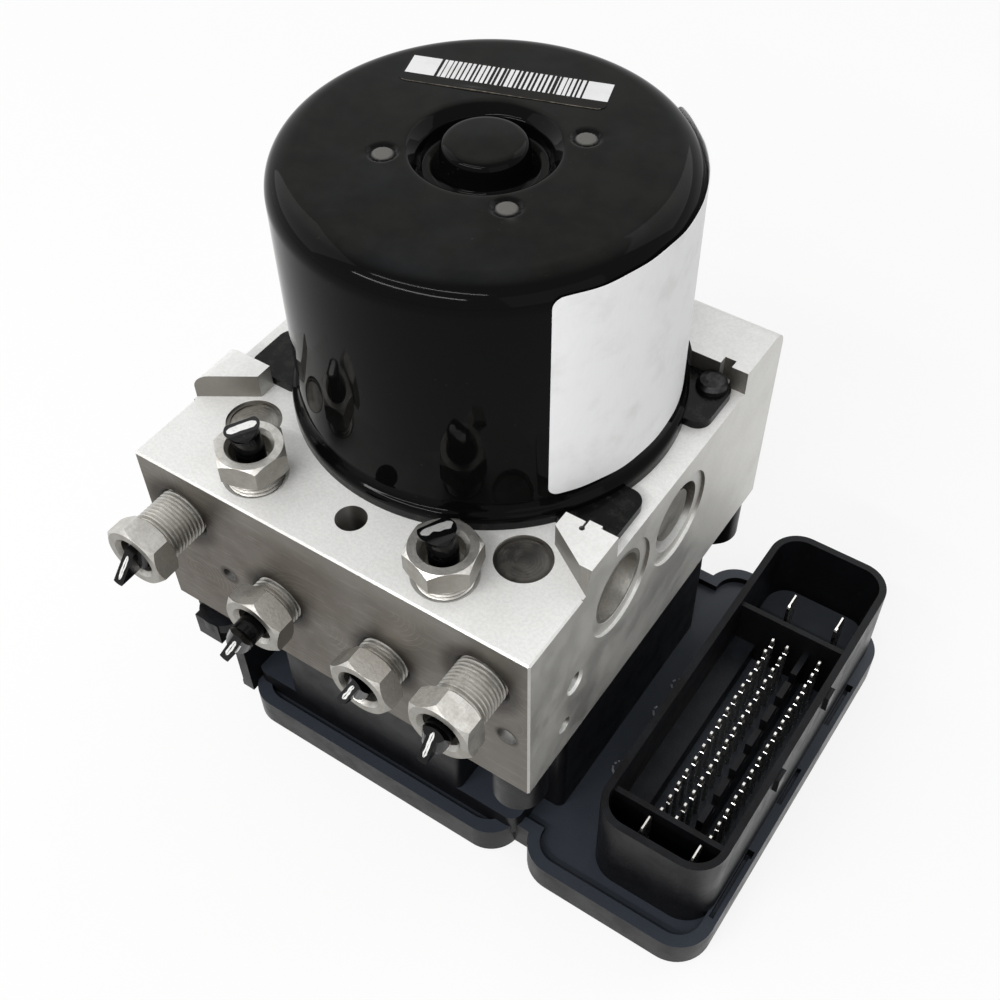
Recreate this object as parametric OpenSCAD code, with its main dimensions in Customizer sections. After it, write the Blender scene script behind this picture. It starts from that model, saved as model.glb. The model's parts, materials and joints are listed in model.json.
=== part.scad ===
// Hydraulic modulator of an anti-lock brake system, with its motor pump and electronics.
// The motor axis stands on Z through the origin, and Z = 0 is the underside of the cover.
// X runs along the face with the four tube nuts, Y away from that face.

/* [Valve block] */
// Width along the face with the four tube nuts
block_w = 100; // [98:0.5:104]
// Depth from that face to the back ridge
block_d = 104; // [103:0.5:108]
// Height up to the machined motor plane
block_h = 48; // [47:0.5:50]
// Height of the pads and the ridge left from the blank
pad_h = 6; // [4:0.5:8]
// Distance of the motor axis from the left side
motor_x = 51; // [50:0.5:51]
// Distance of the motor axis from the front face
motor_y = 59.5; // [59:0.5:60.5]
// Distance of the back ridge from the motor axis
ridge_gap = 26.5; // [26:0.5:27.5]
// Rounding of the ridge along its top back edge
ridge_r = 4.5; // [2:0.5:5.5]
// Width of a corner pad along X
pad_w = 12; // [11:0.5:13]
// Back edge of the corner pads
pad_back = 31.5; // [31:0.25:32]
// Front end of a corner pad at the block's side
pad_tip = 19.8; // [19:0.2:20.4]
// Front end of a corner pad at its inner side
pad_front = 27.5; // [26:0.5:28.5]
// Radius of the tapped mounting hole in the motor plane
top_hole_r = 3.4; // [3:0.1:4]
// Depth of the tapped mounting hole
top_hole_depth = 20; // [12:1:24]
// Radius of the tapped mounting holes in the two sides
side_hole_r = 2.5; // [2:0.1:3]
// Depth of the tapped side holes
side_hole_depth = 12; // [8:1:14]

/* [Pressure ports] */
// Major radius of the tube nut's thread
nut_thread_r = 5.95; // [5.5:0.05:6.2]
// Thread pitch of the tube nuts
nut_pitch = 1; // [0.75:0.25:1.25]
// Width of a nut's hexagon across its flats
nut_af = 14; // [13:0.5:14.5]
// Length of the hexagon
hex_len = 5.5; // [5:0.5:6.5]
// Height of the outer ports above the block's underside
port_z_outer = 34.4; // [34:0.1:35]
// Height of the inner ports above the block's underside
port_z_inner = 21; // [20.5:0.1:21.5]
// Depth of a port's threaded bore
port_depth = 12; // [11:0.5:12.5]
// Outer radius of the brake pipe
pipe_r = 3.1; // [2.9:0.1:3.2]
// Width of the blade that the cutter squeezed a pipe's end to
pinch_w = 7.8; // [7:0.2:8.4]

/* [Closures, dampers and pumps] */
// Radius of the pressed closure discs in the motor plane
closure_r = 6.1; // [5.5:0.1:6.3]
// Radius of the accumulator bores
acc_r = 8.75; // [8:0.05:8.9]
// Depth of the accumulator bores' axis below the motor plane
acc_drop = 13.6; // [13:0.1:14.5]
// Distance of the accumulator bores from the front face
acc_y = 34.8; // [34.4:0.1:35.2]
// Stroke of an accumulator piston
acc_stroke = 8; // [7:0.5:9]
// Depth of the pump pistons' axis below the motor plane
pump_drop = 15.8; // [15:0.1:16.5]
// Eccentricity of the pump drive
ecc = 1.2; // [0.8:0.1:1.5]
// Outer radius of the ring on the eccentric
ecc_ring_r = 9.5; // [9:0.1:10]
// Radius of a pump piston
piston_r = 3; // [2.5:0.1:3.2]
// Radius of the shallow spot faces around the side bores
spot_r = 11.5; // [10:0.5:12]

/* [Solenoid valves] */
// Spacing of the valve columns along X
valve_pitch = 20; // [19:0.5:21]
// Outer radius of a coil with its yoke
coil_r = 8.2; // [7.8:0.1:8.4]
// Radius of a valve dome
dome_r = 3.2; // [3:0.1:3.4]
// Lift of a valve plunger
plunger_lift = 0.4; // [0.2:0.05:0.6]

/* [Motor] */
// Outer radius of the drawn can
can_r = 41.8; // [41:0.1:42.2]
// Height of the can's end face above the motor plane
can_h = 59.5; // [57:0.5:62]
// Sheet thickness of the can
can_t = 1.6; // [1.4:0.1:1.8]
// Shoulder radius of the can
can_shoulder = 6; // [4:0.5:8]
// Radius of the can's flange and of the round part of the end plate
flange_r = 43.5; // [43:0.1:43.8]
// Thickness of the lobed end plate
plate_t = 2; // [1.5:0.1:2.5]
// Outer radius of the armature
armature_r = 33.6; // [32:0.1:33.8]
// Number of armature slots
slots = 14; // [10:2:18]
// Running clearance of the shafts and pistons
run_gap = 0.05; // [0.03:0.01:0.08]

/* [Electronics housing] */
// Height of the housing below the block
ecu_h = 45; // [44.5:0.5:47]
// Reach of the base beyond the block's right side
base_reach = 43; // [43:0.5:46]
// Height of the base's outer wall
rim_h = 9; // [8.5:0.5:10]
// Wall thickness of the moulded housing
wall = 1.8; // [1.5:0.1:2.2]
// Height of the connector's mouth below the block's underside
mouth_drop = 12; // [11:0.5:14]
// Gap between the block's right side and the connector shroud
shroud_gap = 9.5; // [9:0.5:10]
// Width of the connector shroud
shroud_w = 31; // [30.5:0.5:32]
// Front side of the connector shroud
shroud_y = 9; // [8.5:0.5:9.5]
// Length of the connector shroud
shroud_l = 98.5; // [98:0.5:99]
// Corner radius of the connector shroud
shroud_r = 8; // [6:0.5:9]
// Number of contact pins in a row
pins_per_row = 15; // [12:1:15]
// Spacing of the contact pins along the row
pin_pitch = 3.98; // [3.5:0.02:4]
// Thickness of a contact pin
pin_t = 0.8; // [0.6:0.1:1]

/* [Labels] */
// Height of the wrapped side label
label_h = 50; // [40:1:50]
// Angle over which the side label wraps the can
label_angle = 100; // [80:1:120]
// Length of the bar label on the can's end face
bar_len = 42; // [36:1:43]
// Width of the bar label
bar_w = 9.6; // [8:0.2:10]

/* [Output] */
// Piece to build

/* [Hidden] */
$fn = 64;
eps = 0.01;
press = 0.02;
z_top = block_h;
z_can = block_h + can_h;
ridge_y = motor_y + ridge_gap;
ridge_edge = min(ridge_r, (block_d - ridge_y) / 2);
acc_z = z_top - acc_drop;
pump_z = z_top - pump_drop;
rim_top = rim_h - ecu_h;
tray_z = rim_top - 2;
tray_t = 1.6;
base_right = block_w + base_reach;
shroud_x = block_w + shroud_gap;
acc_depth = acc_stroke + 26;
flare_r = 4.2;
lap = 0.25;
skin = 0.06;
ledge_z = -32;
floor_z = -28;
bore_r = nut_thread_r + run_gap;
chamber_r = 14;
chamber_z = pump_z - 7.2;
seat_r = 7;
seat_z = chamber_z - 7;
valve_depth = seat_z;
gallery_z = valve_depth + 2.5;
shaft_r = 4;
tail_r = 3;
pocket_r = 6.6;
ecc_r = 6.5;
ring_h = 9;
plate_seat_r = 11;
cover_t = 1.5;
ledge_w = 1.6;
screw_r = 2.3;
motor_screw_r = 2.2;
lead_r = 0.4;
lead_x = 5;
channel_r = 1.4;
board_z = tray_z - tray_t - 1.2;
board_t = 1.6;

// Pressure ports: [x, z or y, distance of the nut's mouth from the block, turn of its hexagon]
front_ports = [
    [10.2, port_z_outer, 15, 38],
    [34.5, port_z_inner, 8.6, 20],
    [block_w - 36.5, port_z_inner, 8.8, 47],
    [block_w - 11.4, port_z_outer, 14.2, 34]
];
top_ports = [
    [25.8, 9.4, 8.6, 18],
    [block_w - 25.8, 9.4, 8.6, 43]
];
// Cut pipe ends, in the order of the ports: [bend, way it bends, place from the mouth, straight length
// after the bend, way of the blade's width, slant of the cut, length of the blade, its thickness]
stub_shape = [
    [0, 0, -3, 0, 77, 29, 6, 2.3],
    [0, 0, 3, 0, 65, 21, 3.7, 2.3],
    [14, 180, -4.4, 1.2, 68, 23, 3.7, 2.3],
    [0, 0, 0, 0, 83, 29, 3.1, 2.3],
    [12, 180, -1, 2.3, 53, 0, 2.2, 3.6],
    [12, 180, -1, 2.2, 60, 6, 2.2, 3.8]
];
closures = [[15.3, 21], [block_w - 15.1, 21]];
valve_rows = [30, 48.5, 74];
valve_cols = [for (i = [0:3]) motor_x + (i - 1.5) * valve_pitch];
valves = [for (y = valve_rows) for (x = valve_cols) [x, y]];
tower_y = 90;
tower_r = 4.2;
pillar_in = 6.5;
recess_y = 18.5;
pillars = [for (x = [pillar_in, block_w - pillar_in]) for (y = [pillar_in, block_d - pillar_in]) [x, y]];
plate_screws = [[-42.5, ridge_gap - 3.5], [42.5, ridge_gap - 3.5]];
board_posts = [
    [block_w + 3, 10], [block_w + 3, block_d - 5],
    [base_right - 9, 7.5], [base_right - 9, block_d - 5]
];
floor_posts = [[18, 62], [block_w - 15, 62]];
pillar_r = 6.3;
pillar_h = 12;
shroud_x2 = shroud_x + shroud_w;
shroud_y2 = shroud_y + shroud_l;
mouth_z = -mouth_drop;
socket_z = -33;
pin_tip_z = mouth_z - 5;
pin_y0 = 21.2;
pin_rows = [shroud_x + 12.5, shroud_x + 16.4, shroud_x + 25];
blade_x = [shroud_x + 11.7, shroud_x + 24.5];
blade_y = [12.6, 86.3];
blade_t = 0.8;
rib_x = shroud_x + 19.9;
rib_t = 1.6;
key_w = 7.5;
blade_w = 5;
divider_t = 1.4;
divider_y = [18, 80];
label_t = 0.15;
glue = 0.05;
label_z = block_h + 6.5;
label_start = -40;
face_right = block_w - motor_x;
face_left = motor_x;

// Moves a piece from the block's lower front left corner to the shared frame
module at_block() {
    translate([-motor_x, -motor_y, ecu_h])
        children();
}

// Moves a piece from the motor axis at the block's underside to the shared frame
module at_axis() {
    translate([0, 0, ecu_h])
        children();
}

// Turns a piece drawn along Z to run outwards along X at a height, to the right or the left
module outward(side, y, z) {
    translate([0, y - motor_y, z])
        rotate([0, side * 90, 0])
            children();
}

// Rounded rectangle between two corners
module rounded(x0, y0, x1, y1, r) {
    translate([x0 + r, y0])
        square([x1 - x0 - 2 * r, y1 - y0]);
    translate([x0, y0 + r])
        square([x1 - x0, y1 - y0 - 2 * r]);
    for (x = [x0 + r, x1 - r])
        for (y = [y0 + r, y1 - r])
            translate([x, y])
                circle(r);
}

// Closed coil spring drawn as stacked rings joined by a thin sleeve's ribs
module spring(r, wire, len, turns) {
    pitch = (len - wire) / (turns - 1);
    for (i = [0:turns - 1])
        translate([0, 0, wire / 2 + i * pitch])
            rotate_extrude($fn = 48)
                translate([r, 0])
                    circle(wire / 2, $fn = 16);
    for (a = [0, 180])
        rotate([0, 0, a])
            translate([r, 0, wire / 2])
                cylinder(r = wire * 0.35, h = len - wire, $fn = 16);
}

// Blank pads and ridge

module pad_outline() {
    polygon([[0, pad_tip], [pad_w, pad_front], [pad_w, pad_back], [0, pad_back]]);
}

module left_pad() {
    edge_r = 3;
    intersection() {
        translate([0, 0, z_top - 1])
            linear_extrude(pad_h + 1)
                pad_outline();
        translate([0, pad_back + 1, 0])
            rotate([90, 0, 0])
                linear_extrude(pad_back - pad_tip + 2)
                    union() {
                        translate([edge_r, 0])
                            square([pad_w, z_top + pad_h]);
                        square([pad_w, z_top + pad_h - edge_r]);
                        translate([edge_r, z_top + pad_h - edge_r])
                            circle(edge_r);
                    }
    }
}

module right_pad() {
    crease_y = pad_tip + 1.8;
    slit_x = block_w - 7.2;
    difference() {
        translate([block_w, 0, z_top - 1])
            mirror([1, 0, 0])
                linear_extrude(pad_h + 1)
                    union() {
                        pad_outline();
                        translate([4, pad_back - 1])
                            square([3, 1.7]);
                    }
        translate([block_w - pad_w - 1, 0, z_top])
            rotate([90, 0, 90])
                linear_extrude(pad_w + 2)
                    polygon([
                        [pad_tip - 3, 1.4],
                        [pad_tip, 1.4],
                        [crease_y, pad_h],
                        [crease_y, pad_h + 1],
                        [pad_tip - 3, pad_h + 1]
                    ]);
        translate([slit_x, pad_back - 1.9, z_top + 1])
            cylinder(r = 0.6, h = pad_h, $fn = 24);
        translate([slit_x - 0.25, pad_back - 1.9, z_top + 1])
            cube([0.5, 4, pad_h]);
    }
}

module back_ridge() {
    rotate([90, 0, 90])
        linear_extrude(block_w)
            union() {
                translate([ridge_y, z_top - 1])
                    square([block_d - ridge_y - ridge_edge, pad_h + 1]);
                translate([ridge_y, z_top - 1])
                    square([block_d - ridge_y, pad_h + 1 - ridge_edge]);
                translate([block_d - ridge_edge, z_top + pad_h - ridge_edge])
                    circle(ridge_edge);
            }
}

module port_bore(depth) {
    seat_h = 3;
    translate([0, 0, -depth])
        cylinder(r = bore_r, h = depth + 1);
    translate([0, 0, -0.8])
        cylinder(r1 = bore_r, r2 = bore_r + 1, h = 0.81);
    translate([0, 0, -depth - seat_h])
        cylinder(r1 = 1.5, r2 = bore_r - 1, h = seat_h + eps);
}

// A drilled channel from a point, along Z turned by the given angles
module drilling(start, turn, len) {
    translate(start)
        rotate(turn)
            cylinder(r = channel_r, h = len, $fn = 32);
}

module valve_block() {
    gauge_x = 20.5;
    pin_x = block_w - 5.4;
    side_hole_y = 17.4;
    side_hole_z = 21;
    edge_w = 0.6;
    inner_x = [valve_cols[1], block_w - valve_cols[2]];
    outer_x = [valve_cols[0], block_w - valve_cols[3]];
    inner_len = inner_x - [1, 1] * (front_ports[1][0] - 2.5);
    outer_len = outer_x - [1, 1] * (front_ports[0][0] + 1.8);
    color([0.78, 0.78, 0.77])
        at_block()
            difference() {
                union() {
                    cube([block_w, block_d, block_h]);
                    left_pad();
                    right_pad();
                    back_ridge();
                }
                // clearance for the round flange and the notch in the ridge
                translate([motor_x, motor_y, z_top])
                    cylinder(r = flange_r + 0.6, h = pad_h + 1, $fn = 128);
                translate([block_w - 6.7, ridge_y - 1, z_top])
                    cube([2.7, 3.2, pad_h + 1]);
                translate([motor_x - 15, ridge_y, z_top])
                    cube([30, block_d, pad_h + 1]);
                // broken edges around the front of the motor plane and down the front corners
                translate([0, 0, z_top])
                    rotate([45, 0, 0])
                        cube([3 * block_w, edge_w, edge_w], center = true);
                for (x = [0, block_w]) {
                    translate([x, 0, z_top])
                        rotate([0, 45, 0])
                            cube([edge_w, 2 * (pad_tip - 1), edge_w], center = true);
                    translate([x, 0, 0])
                        rotate([0, 0, 45])
                            cube([edge_w, edge_w, 3 * block_h], center = true);
                }
                // tapped holes for the mounting
                translate([block_w / 2, 10.6, z_top - top_hole_depth])
                    cylinder(r = top_hole_r, h = top_hole_depth + 1);
                for (side = [0, 1])
                    translate([side * block_w, side_hole_y, side_hole_z])
                        rotate([0, side ? -90 : 90, 0]) {
                            translate([0, 0, -1])
                                cylinder(r = side_hole_r, h = side_hole_depth + 1);
                            translate([0, 0, -eps])
                                cylinder(r1 = side_hole_r + 0.6, r2 = side_hole_r, h = 0.6);
                        }
                // small staked bores on the front and the right side
                translate([gauge_x, -1, 20])
                    rotate([-90, 0, 0])
                        cylinder(r = 1.8, h = 5);
                translate([pin_x, -1, 18.8])
                    rotate([-90, 0, 0])
                        cylinder(r = 2.3, h = 6);
                translate([block_w - 4, 13.8, 9.2])
                    rotate([0, 90, 0])
                        cylinder(r = 2.1, h = 5);
                // pressure ports
                for (p = front_ports)
                    translate([p[0], 0, p[1]])
                        rotate([90, 0, 0])
                            port_bore(port_depth);
                for (p = top_ports)
                    translate([p[0], p[1], z_top])
                        port_bore(port_depth);
                // damper chambers under the closure discs
                for (c = closures)
                    translate([c[0], c[1], 0]) {
                        translate([0, 0, z_top - 6])
                            cylinder(r = closure_r + press, h = 10);
                        translate([0, 0, z_top - 19])
                            cylinder(r = 4.2, h = 14);
                    }
                // eccentric chamber, lower bearing seat and contact passage
                translate([motor_x, motor_y, 0]) {
                    translate([0, 0, chamber_z])
                        cylinder(r = chamber_r, h = block_h);
                    translate([0, 0, seat_z])
                        cylinder(r = seat_r, h = 10);
                }
                translate([motor_x, tower_y, -1])
                    cylinder(r = tower_r + 0.4, h = block_h + 2);
                // tapped holes for the screws of the motor and of the electronics housing
                for (p = plate_screws)
                    translate([motor_x + p[0], motor_y + p[1], z_top - 9])
                        cylinder(r = motor_screw_r + press, h = 10);
                for (p = pillars)
                    translate([p[0], p[1], -1])
                        cylinder(r = screw_r + press, h = 11);
                // pump and accumulator bores from both sides
                translate([motor_x, motor_y, 0])
                    for (side = [-1, 1]) {
                        outward(side, motor_y, pump_z) {
                            translate([0, 0, 5])
                                cylinder(r = 6 + press, h = 40);
                            translate([0, 0, 39.8])
                                cylinder(r = 8.6 + press, h = 20);
                            translate([0, 0, (side > 0 ? face_right : face_left) - 0.8])
                                cylinder(r = spot_r, h = 2);
                        }
                        outward(side, acc_y, acc_z)
                            translate([0, 0, side > 0 ? face_right : face_left]) {
                                translate([0, 0, -acc_depth])
                                    cylinder(r = acc_r, h = acc_depth + 1);
                                translate([0, 0, -0.8])
                                    cylinder(r = spot_r, h = 2);
                            }
                    }
                // valve bores and the drillings that join them
                for (v = valves)
                    translate([v[0], v[1], -1]) {
                        cylinder(r = 5 + press, h = valve_depth + 1);
                        cylinder(r = 1.8, h = gallery_z + 1.5);
                    }
                for (x = valve_cols)
                    drilling([x, 15, gallery_z], [-90, 0, 0], valve_rows[2] - 13);
                for (side = [0, 1])
                    translate([side * block_w, 0, 0])
                        mirror([side, 0, 0]) {
                            drilling([front_ports[1][0], 14.6, port_z_inner], [0, 90, 0], inner_len[side]);
                            drilling([front_ports[0][0], 12.8, 12], [0, 0, 0], port_z_outer - 12);
                            drilling([front_ports[0][0], 11.6, 12], [-90, 0, 0], 18.4);
                            drilling(
                                [front_ports[0][0] - 1.2, valve_rows[0], 12],
                                [0, 90, 0],
                                outer_len[side]
                            );
                            drilling([top_ports[0][0], top_ports[0][1], z_top - 15], [-90, 0, 42], 15.6);
                        }
            }
}

module closure_discs() {
    color([0.55, 0.55, 0.54])
        at_block()
            for (c = closures)
                translate([c[0], c[1], z_top - 0.4])
                    difference() {
                        translate([0, 0, -3])
                            cylinder(r = closure_r, h = 3);
                        translate([0, 0, -0.25])
                            cylinder(r = closure_r - 0.8, h = 1);
                    }
}

// Accumulators, drawn from the side faces inwards

module acc_cap() {
    cup_r = acc_r - press;
    color([0.5, 0.5, 0.49])
        translate([0, 0, -7.5])
            rotate_extrude($fn = 96)
                polygon([
                    [0, 0], [cup_r, 0], [cup_r, 6.6], [cup_r - 1, 6.6],
                    [cup_r - 1.2, 2], [6.2, 2], [6.2, 2.5], [5, 2.5], [5, 2],
                    [3.8, 2], [3.8, 2.5], [2.6, 2.5], [2.6, 2], [1.4, 2], [1.4, 2.5], [0, 2.5]
                ]);
}

module accumulator_caps() {
    at_axis()
        for (side = [-1, 1])
            outward(side, acc_y, acc_z)
                translate([0, 0, side > 0 ? face_right : face_left])
                    acc_cap();
}

module acc_piston() {
    color([0.62, 0.6, 0.55])
        translate([0, 0, 1 - acc_depth])
            difference() {
                cylinder(r = acc_r - run_gap, h = 10);
                translate([0, 0, 3])
                    cylinder(r = acc_r - 1.6, h = 8);
                translate([0, 0, 4])
                    difference() {
                        cylinder(r = acc_r + 1, h = 1.6);
                        cylinder(r = acc_r - 0.9, h = 1.6);
                    }
            }
}

module acc_spring() {
    color([0.4, 0.4, 0.42])
        translate([0, 0, 4 - acc_depth])
            spring(acc_r - 2.8, 1.2, acc_depth - 11.5, 7);
}

module accumulator_piston_right() {
    at_axis()
        outward(1, acc_y, acc_z)
            translate([0, 0, face_right])
                acc_piston();
}

module accumulator_piston_left() {
    at_axis()
        outward(-1, acc_y, acc_z)
            translate([0, 0, face_left])
                acc_piston();
}

module accumulator_spring_right() {
    at_axis()
        outward(1, acc_y, acc_z)
            translate([0, 0, face_right])
                acc_spring();
}

module accumulator_spring_left() {
    at_axis()
        outward(-1, acc_y, acc_z)
            translate([0, 0, face_left])
                acc_spring();
}

// Pump elements, drawn from the motor axis outwards

module pump_plugs() {
    color([0.66, 0.66, 0.64])
        at_axis()
            for (side = [-1, 1])
                outward(side, motor_y, pump_z)
                    translate([0, 0, 39.9])
                        rotate_extrude($fn = 96)
                            polygon([
                                [0, 0], [8.6, 0], [8.6, 3.4], [6.9, 3.4],
                                [6.4, 4.4], [6.3, 7.4], [0, 7.4]
                            ]);
}

module pump_sleeves() {
    sleeve_len = 24.6;
    color([0.7, 0.68, 0.6])
        at_axis()
            for (side = [-1, 1])
                outward(side, motor_y, pump_z)
                    translate([0, 0, 15])
                        difference() {
                            cylinder(r = 6, h = sleeve_len);
                            translate([0, 0, -1])
                                cylinder(r = piston_r + run_gap, h = 14);
                            translate([0, 0, 12])
                                cylinder(r = 4.2, h = 11);
                            for (z = [3, 8, 16])
                                translate([0, 0, z])
                                    difference() {
                                        cylinder(r = 7, h = 1.2);
                                        cylinder(r = 5.4, h = 1.2);
                                    }
                        }
}

module pump_piston() {
    tip = ecc_ring_r + ecc + 0.1;
    color([0.75, 0.75, 0.76])
        outward(1, motor_y, pump_z) {
            translate([0, 0, tip])
                cylinder(r = piston_r, h = 28.4 - tip);
            translate([0, 0, 27.4])
                cylinder(r = 3.9, h = 1);
        }
}

module pump_piston_right() {
    at_axis()
        pump_piston();
}

module pump_piston_left() {
    at_axis()
        mirror([1, 0, 0])
            pump_piston();
}

module pump_spring() {
    color([0.42, 0.42, 0.44])
        outward(1, motor_y, pump_z)
            translate([0, 0, 28.4])
                spring(3.3, 0.6, 9.6, 6);
}

module pump_spring_right() {
    at_axis()
        pump_spring();
}

module pump_spring_left() {
    at_axis()
        mirror([1, 0, 0])
            pump_spring();
}

// Tube nuts and the cut brake pipes

module tube_nut(reach) {
    root_r = nut_thread_r - 0.55;
    back = hex_len + 0.4;
    rings = floor((reach - back + port_depth - 4) / nut_pitch);
    corner_r = nut_af / sqrt(3);
    thread = [for (i = [0:rings - 1]) each [
        [root_r, -i * nut_pitch],
        [nut_thread_r, -(i + 0.35) * nut_pitch],
        [nut_thread_r, -(i + 0.55) * nut_pitch],
        [root_r, -(i + 0.9) * nut_pitch]
    ]];
    end_z = 3.4 - port_depth - reach + back;
    color([0.66, 0.66, 0.64])
        difference() {
            union() {
                intersection() {
                    translate([0, 0, reach - hex_len])
                        cylinder(r = corner_r, h = hex_len, $fn = 6);
                    translate([0, 0, reach - hex_len])
                        rotate_extrude($fn = 96)
                            polygon([
                                [0, 0], [corner_r - 0.8, 0], [corner_r + 0.1, 0.7],
                                [corner_r + 0.1, hex_len - 1], [corner_r - 1.1, hex_len], [0, hex_len]
                            ]);
                }
                translate([0, 0, reach - back])
                    cylinder(r = nut_thread_r + 0.5, h = 0.5);
                translate([0, 0, reach - back])
                    rotate_extrude($fn = 96)
                        polygon(concat(
                            [[0, 0.1], [root_r, 0.1]],
                            thread,
                            [[root_r, end_z + 0.5], [root_r - 0.8, end_z]],
                            [[pipe_r + 0.6, end_z - 1.6], [0, end_z - 1.6]]
                        ));
            }
            translate([0, 0, -port_depth - 2])
                cylinder(r = pipe_r + run_gap, h = reach + port_depth);
            translate([0, 0, reach - 6])
                cylinder(r = 4.4, h = 7);
            translate([0, 0, reach - 1])
                cylinder(r1 = 4.4, r2 = 5.2, h = 1.01);
        }
}

module tube_nuts() {
    at_block() {
        for (p = front_ports)
            translate([p[0], 0, p[1]])
                rotate([90, 0, 0])
                    rotate([0, 0, p[3]])
                        tube_nut(p[2]);
        for (p = top_ports)
            translate([p[0], p[1], z_top])
                rotate([0, 0, p[3]])
                    tube_nut(p[2]);
    }
}

// The free end of a pipe, squeezed from its round section to a blade and cut off at a slant
module cut_end(slant, len, thick) {
    shoulder = 2.4;
    top = len + pinch_w / 2;
    half = thick / 2;
    wedge = [for (a = [0:15:90]) [half + (pipe_r - half) * cos(a), shoulder * sin(a)]];
    difference() {
        intersection() {
            rotate_extrude($fn = 48)
                polygon([
                    [0, -lap], [pipe_r - skin, -lap], [pipe_r - skin, lap + skin],
                    [pinch_w / 2, shoulder], [pinch_w / 2, top], [0, top]
                ]);
            rotate([90, 0, 90])
                translate([0, 0, -pinch_w])
                    linear_extrude(2 * pinch_w)
                        polygon(concat(
                            [[-pipe_r, -1], [pipe_r, -1]],
                            wedge,
                            [[half, top + 1], [-half, top + 1]],
                            [for (i = [len(wedge) - 1:-1:0]) [-wedge[i][0], wedge[i][1]]]
                        ));
        }
        translate([0, 0, len])
            rotate([0, slant, 0])
                translate([-pinch_w, -pinch_w, 0])
                    cube([2 * pinch_w, 2 * pinch_w, 2 * pinch_w]);
    }
}

// A stub: flared end on its seat, straight pipe, bend if it has one, and the cut end
module pipe_stub(reach, shape) {
    slope = (bore_r - 2.5) / 3.01;
    bend_r = pipe_r + 2;
    turn = shape[1] - 180;
    free_z = reach + shape[2];
    color([0.07, 0.07, 0.08]) {
        translate([0, 0, -port_depth])
            rotate_extrude($fn = 64)
                polygon([
                    [0, -2], [1.5 + slope - 0.05, -2], [flare_r, (flare_r + 0.05 - 1.5) / slope - 3],
                    [flare_r, 1.8], [pipe_r, 1.8],
                    [pipe_r, free_z + port_depth + lap], [0, free_z + port_depth + lap]
                ]);
        translate([0, 0, free_z])
            if (shape[0] > 0)
                rotate([0, 0, turn])
                    translate([-bend_r, 0, 0]) {
                        rotate([90, 0, 0])
                            rotate_extrude(angle = shape[0])
                                translate([bend_r, 0])
                                    circle(pipe_r - skin, $fn = 48);
                        rotate([0, -shape[0], 0])
                            translate([bend_r, 0, 0]) {
                                translate([0, 0, -lap])
                                    cylinder(r = pipe_r, h = shape[3] + lap, $fn = 48);
                                translate([0, 0, shape[3]])
                                    rotate([0, 0, shape[4] - turn])
                                        cut_end(shape[5], shape[6], shape[7]);
                            }
                    }
            else
                rotate([0, 0, shape[4]])
                    cut_end(shape[5], shape[6], shape[7]);
    }
}

module pipe_stubs() {
    at_block() {
        for (i = [0:3])
            translate([front_ports[i][0], 0, front_ports[i][1]])
                rotate([90, 0, 0])
                    pipe_stub(front_ports[i][2], stub_shape[i]);
        for (i = [0:1])
            translate([top_ports[i][0], top_ports[i][1], z_top])
                pipe_stub(top_ports[i][2], stub_shape[i + 4]);
    }
}

// Motor

module motor_can() {
    r1 = can_r;
    r2 = can_r - can_t;
    s1 = can_shoulder;
    s2 = can_shoulder - can_t;
    z2 = z_can - can_t;
    foot = z_top + plate_t;
    color([0.05, 0.05, 0.055])
        at_axis()
            difference() {
                rotate_extrude($fn = 192)
                    polygon(concat(
                        [[0, z_can + 1.5], [7.2, z_can + 1.5], [8.3, z_can + 0.9], [8.8, z_can]],
                        [[9.6, z_can - 3.6], [10.4, z_can - 4.4], [11.8, z_can - 4.4]],
                        [[12.6, z_can - 3.8], [13.8, z_can - 0.6], [14.6, z_can]],
                        [for (a = [90:-7.5:0]) [r1 - s1 + s1 * cos(a), z_can - s1 + s1 * sin(a)]],
                        [[r1, foot + 4], [r1 + 0.5, foot + 2.4], [flange_r - 0.2, foot + 1.5]],
                        [[flange_r, foot + 0.8], [flange_r, foot], [r2, foot]],
                        [for (a = [0:7.5:90]) [r2 - s2 + s2 * cos(a), z2 - s2 + s2 * sin(a)]],
                        [[15.4, z2], [13.6, z2 - 4.4], [pocket_r, z2 - 4.4]],
                        [[pocket_r, z2 + 1.2], [0, z2 + 1.2]]
                    ));
                // staked dimples around the boss
                for (a = [-141, -44, 41])
                    rotate([0, 0, a])
                        translate([19.1, 0, z_can - 0.5])
                            difference() {
                                cylinder(r1 = 2.6, r2 = 3.1, h = 1);
                                cylinder(r = 2.1, h = 0.35);
                            }
            }
}

module plate_outline() {
    half = 47;
    lobe = 15;
    circle(flange_r, $fn = 192);
    for (side = [-1, 1]) {
        translate([side * (half - lobe / 2), pad_back + 0.6 + lobe / 2 - motor_y])
            rounded(-lobe / 2, -lobe / 2, lobe / 2, lobe / 2, 3.5);
        translate([side * (half - lobe / 2), ridge_y - 0.4 - lobe / 2 - motor_y])
            rounded(-lobe / 2, -lobe / 2, lobe / 2, lobe / 2, 3.5);
    }
}

module motor_plate() {
    color([0.06, 0.06, 0.065])
        at_axis()
            difference() {
                union() {
                    translate([0, 0, z_top])
                        linear_extrude(plate_t)
                            plate_outline();
                    translate([0, 0, z_top - 8.5])
                        cylinder(r = chamber_r - press, h = 9);
                }
                translate([0, 0, z_top - 7])
                    cylinder(r = plate_seat_r, h = 12);
                translate([0, 0, z_top - 9])
                    cylinder(r = 6, h = 4);
                translate([0, tower_y - motor_y, z_top - 1])
                    cylinder(r = tower_r + 0.4, h = plate_t + 2);
                for (p = plate_screws)
                    translate([p[0], p[1], z_top - 1])
                        cylinder(r = motor_screw_r + 0.1, h = plate_t + 2);
            }
}

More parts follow.
